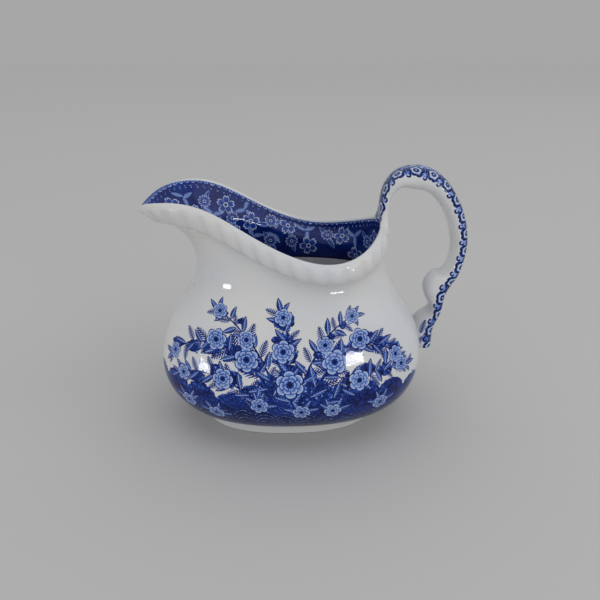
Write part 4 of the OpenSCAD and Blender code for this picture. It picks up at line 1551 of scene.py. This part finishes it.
# %% The paint inside the mouth
def cobalt_ground(tree, point):
    """The tone of the ground inside the mouth, with the edging on it."""
    tone = noise(tree, point, 130.0, 2.0) * 0.22 + 0.66
    edging = Sum(tree, use(tree, edging_group, Round=stored(tree, "round_place"))["Cover"])
    return blend(tone, 0.06, edging)


def paint_band(tree, point):
    _, _, z = split(tree, point)
    z = z * (1 / MM)
    tone = cobalt_ground(tree, point)
    for made, place, pale in ((stem_group, "stem_place", 0.2), (fern_group, "fern_place", 0.14)):
        tone = blend(tone, pale, motif(tree, made, place)[0])
    leaf, leaf_tone = motif(tree, leaf_group, "leaf_place")
    tone = blend(tone, 0.6 - leaf_tone.ramp(0.5, 0.8) * 0.5, leaf)
    flower, flower_tone = motif(tree, pale_flower_group, "flower_place")
    tone = blend(tone, flower_tone, flower)
    tone = blend(tone, 1.0, (z - BAND_FOOT - 0.4).abs().ramp(0.7, 0.4))
    return z.ramp(BAND_FOOT - 0.4, BAND_FOOT), tone


def paint_lip(tree, point):
    _, along, inwards = split(tree, stored(tree, "round_place"))
    from_tip = (along - round_the_rim[AROUND // 2]).abs()
    bare = from_tip.ramp(14, 34) * 1.1 + 0.8
    cover = (inwards - bare).ramp(0, 0.3) * inwards.ramp(CREST_TO_WALL + 3, CREST_TO_WALL + 2)
    return cover, cobalt_ground(tree, point)


# %% The handle's paint, and the six materials
def paint_chain(tree, point):
    chain = use(tree, chain_group, Strap=stored(tree, "strap_place"))
    return Sum(tree, chain["Cover"]), Sum(tree, chain["Tone"])


def paint_tail(tree, point):
    return over(motif(tree, fern_group, "fern_place"), paint_chain(tree, point))


plain_ware = glazed("plain_glazed_ware")
garden_ware = glazed("garden_print_ware", paint_garden)
band_ware = glazed("mouth_print_ware", paint_band)
chain_ware = glazed("handle_print_ware", paint_chain)
tail_ware = glazed("tail_print_ware", paint_tail)
lip_ware = glazed("lip_edging_ware", paint_lip)

# %% Giving each piece its material
for made in (foot, border_right, border_left):
    made.data.materials.append(plain_ware)
lip.data.materials.append(lip_ware)
for made in (loop, scroll, root):
    made.data.materials.append(chain_ware)
tail.data.materials.append(tail_ware)
for paint in (plain_ware, garden_ware, band_ware):
    body.data.materials.append(paint)
# each ring has a row of faces above it: the garden is on the outer rows, the band on the inner ones
kinds = np.zeros(len(body.data.polygons), np.int32)
kinds[outer_from:inner_from - AROUND] = 1
kinds[inner_from - AROUND:inner_from + len(inside) * AROUND] = 2
body.data.polygons.foreach_set("material_index", kinds)
body.data.update()
print("materials:", [m.name for m in bpy.data.materials])

# %% [markdown]
# ## The camera, the table and the light
#
# The camera looks a little down on the jug from its right side, with the spout to the left. The
# table is plain and pale, and so is the room, which gives most of the light. Glazed ware shows what
# is round it: two small bright windows give the square highlights on the belly, and one wide soft
# lamp from the upper right models the form. Spot lamps would do that too, but with hard shadows
# and round highlights. The room's horizon has the tone of the far table, so that no line shows.

# %% The camera
VIEW_TILT, VIEW_TURN, VIEW_FROM, LENS, SENSOR = 23.6, -1.7, 273.4, 34.66, 36
look_at = Vector((-3.0, 0, 58.8)) * MM
tilt, sweep = np.radians(VIEW_TILT), np.radians(VIEW_TURN)
away = Vector((np.cos(tilt) * np.sin(sweep), -np.cos(tilt) * np.cos(sweep), np.sin(tilt)))
camera_data = bpy.data.cameras.new("camera")
camera_data.lens, camera_data.sensor_width = LENS, SENSOR
camera_data.clip_start = 0.01
camera = bpy.data.objects.new("camera", camera_data)
camera.location = look_at + away * VIEW_FROM * MM
camera.rotation_euler = (-away).to_track_quat("-Z", "Y").to_euler()
bpy.context.scene.collection.objects.link(camera)
bpy.context.scene.camera = camera
bpy.context.scene.view_settings.view_transform = "Standard"
print("camera at", [round(c / MM) for c in camera.location], "mm")

# %% The table
bpy.ops.mesh.primitive_plane_add(size=14, location=(0, 0, 0))
floor = bpy.context.object
floor.name = "table"
table_paint = bpy.data.materials.new("table_paint")
table_paint.use_nodes = True
floor.data.materials.append(table_paint)
# a flat finish: a glossy table would glow where it mirrors the lamps
table_shader = table_paint.node_tree.nodes["Principled BSDF"]
flat_finish = {"Base Color": (0.52, 0.515, 0.505, 1), "Roughness": 1.0, "Specular IOR Level": 0.0}
for label, value in flat_finish.items():
    table_shader.inputs[label].default_value = value
print("table", [round(side, 1) for side in floor.dimensions], "m")


# %% The lamps
def lamp(name, azimuth, elevation, distance, size, power):
    """An area lamp that faces the jug: azimuth in degrees from the camera's side towards the handle."""
    data = bpy.data.lights.new(name, "AREA")
    data.shape, data.size, data.size_y, data.energy = "RECTANGLE", *size, power
    made = bpy.data.objects.new(name, data)
    az, el = np.radians(azimuth), np.radians(elevation)
    way = Vector((np.cos(el) * np.sin(az), -np.cos(el) * np.cos(az), np.sin(el)))
    made.location = Vector((0, 0, 0.05)) + way * distance
    made.rotation_euler = (-way).to_track_quat("-Z", "Y").to_euler()
    bpy.context.scene.collection.objects.link(made)
    print(f"{name}: {size[0]} by {size[1]} m, {power} W, {distance} m away")


lamp("key_light", 56, 36, 2.2, (2.2, 1.8), 9.0)
lamp("window_left", -53.5, -0.6, 0.9, (0.17, 0.07), 1.2)
lamp("window_right", 32, 3.9, 0.9, (0.2, 0.035), 1.0)

# %% The light of the room
room = bpy.data.worlds.new("room")
bpy.context.scene.world = room
room.use_nodes = True
nodes, links = room.node_tree.nodes, room.node_tree.links
rise = nodes.new("ShaderNodeSeparateXYZ")
links.new(nodes.new("ShaderNodeTexCoord").outputs["Generated"], rise.inputs[0])
sky = nodes.new("ShaderNodeValToRGB")
links.new(rise.outputs["Z"], sky.inputs["Fac"])
HORIZON, ZENITH = (0.08, (0.385, 0.386, 0.386, 1)), (0.6, (0.78, 0.79, 0.81, 1))
for stop, (height, colour) in zip(sky.color_ramp.elements, (HORIZON, ZENITH)):
    stop.position, stop.color = height, colour
links.new(sky.outputs["Color"], nodes["Background"].inputs["Color"])
nodes["Background"].inputs["Strength"].default_value = 1.0
print("the room's light from", HORIZON, "to", ZENITH)

# %% Updating the view layer, and the end
bpy.context.view_layer.update()
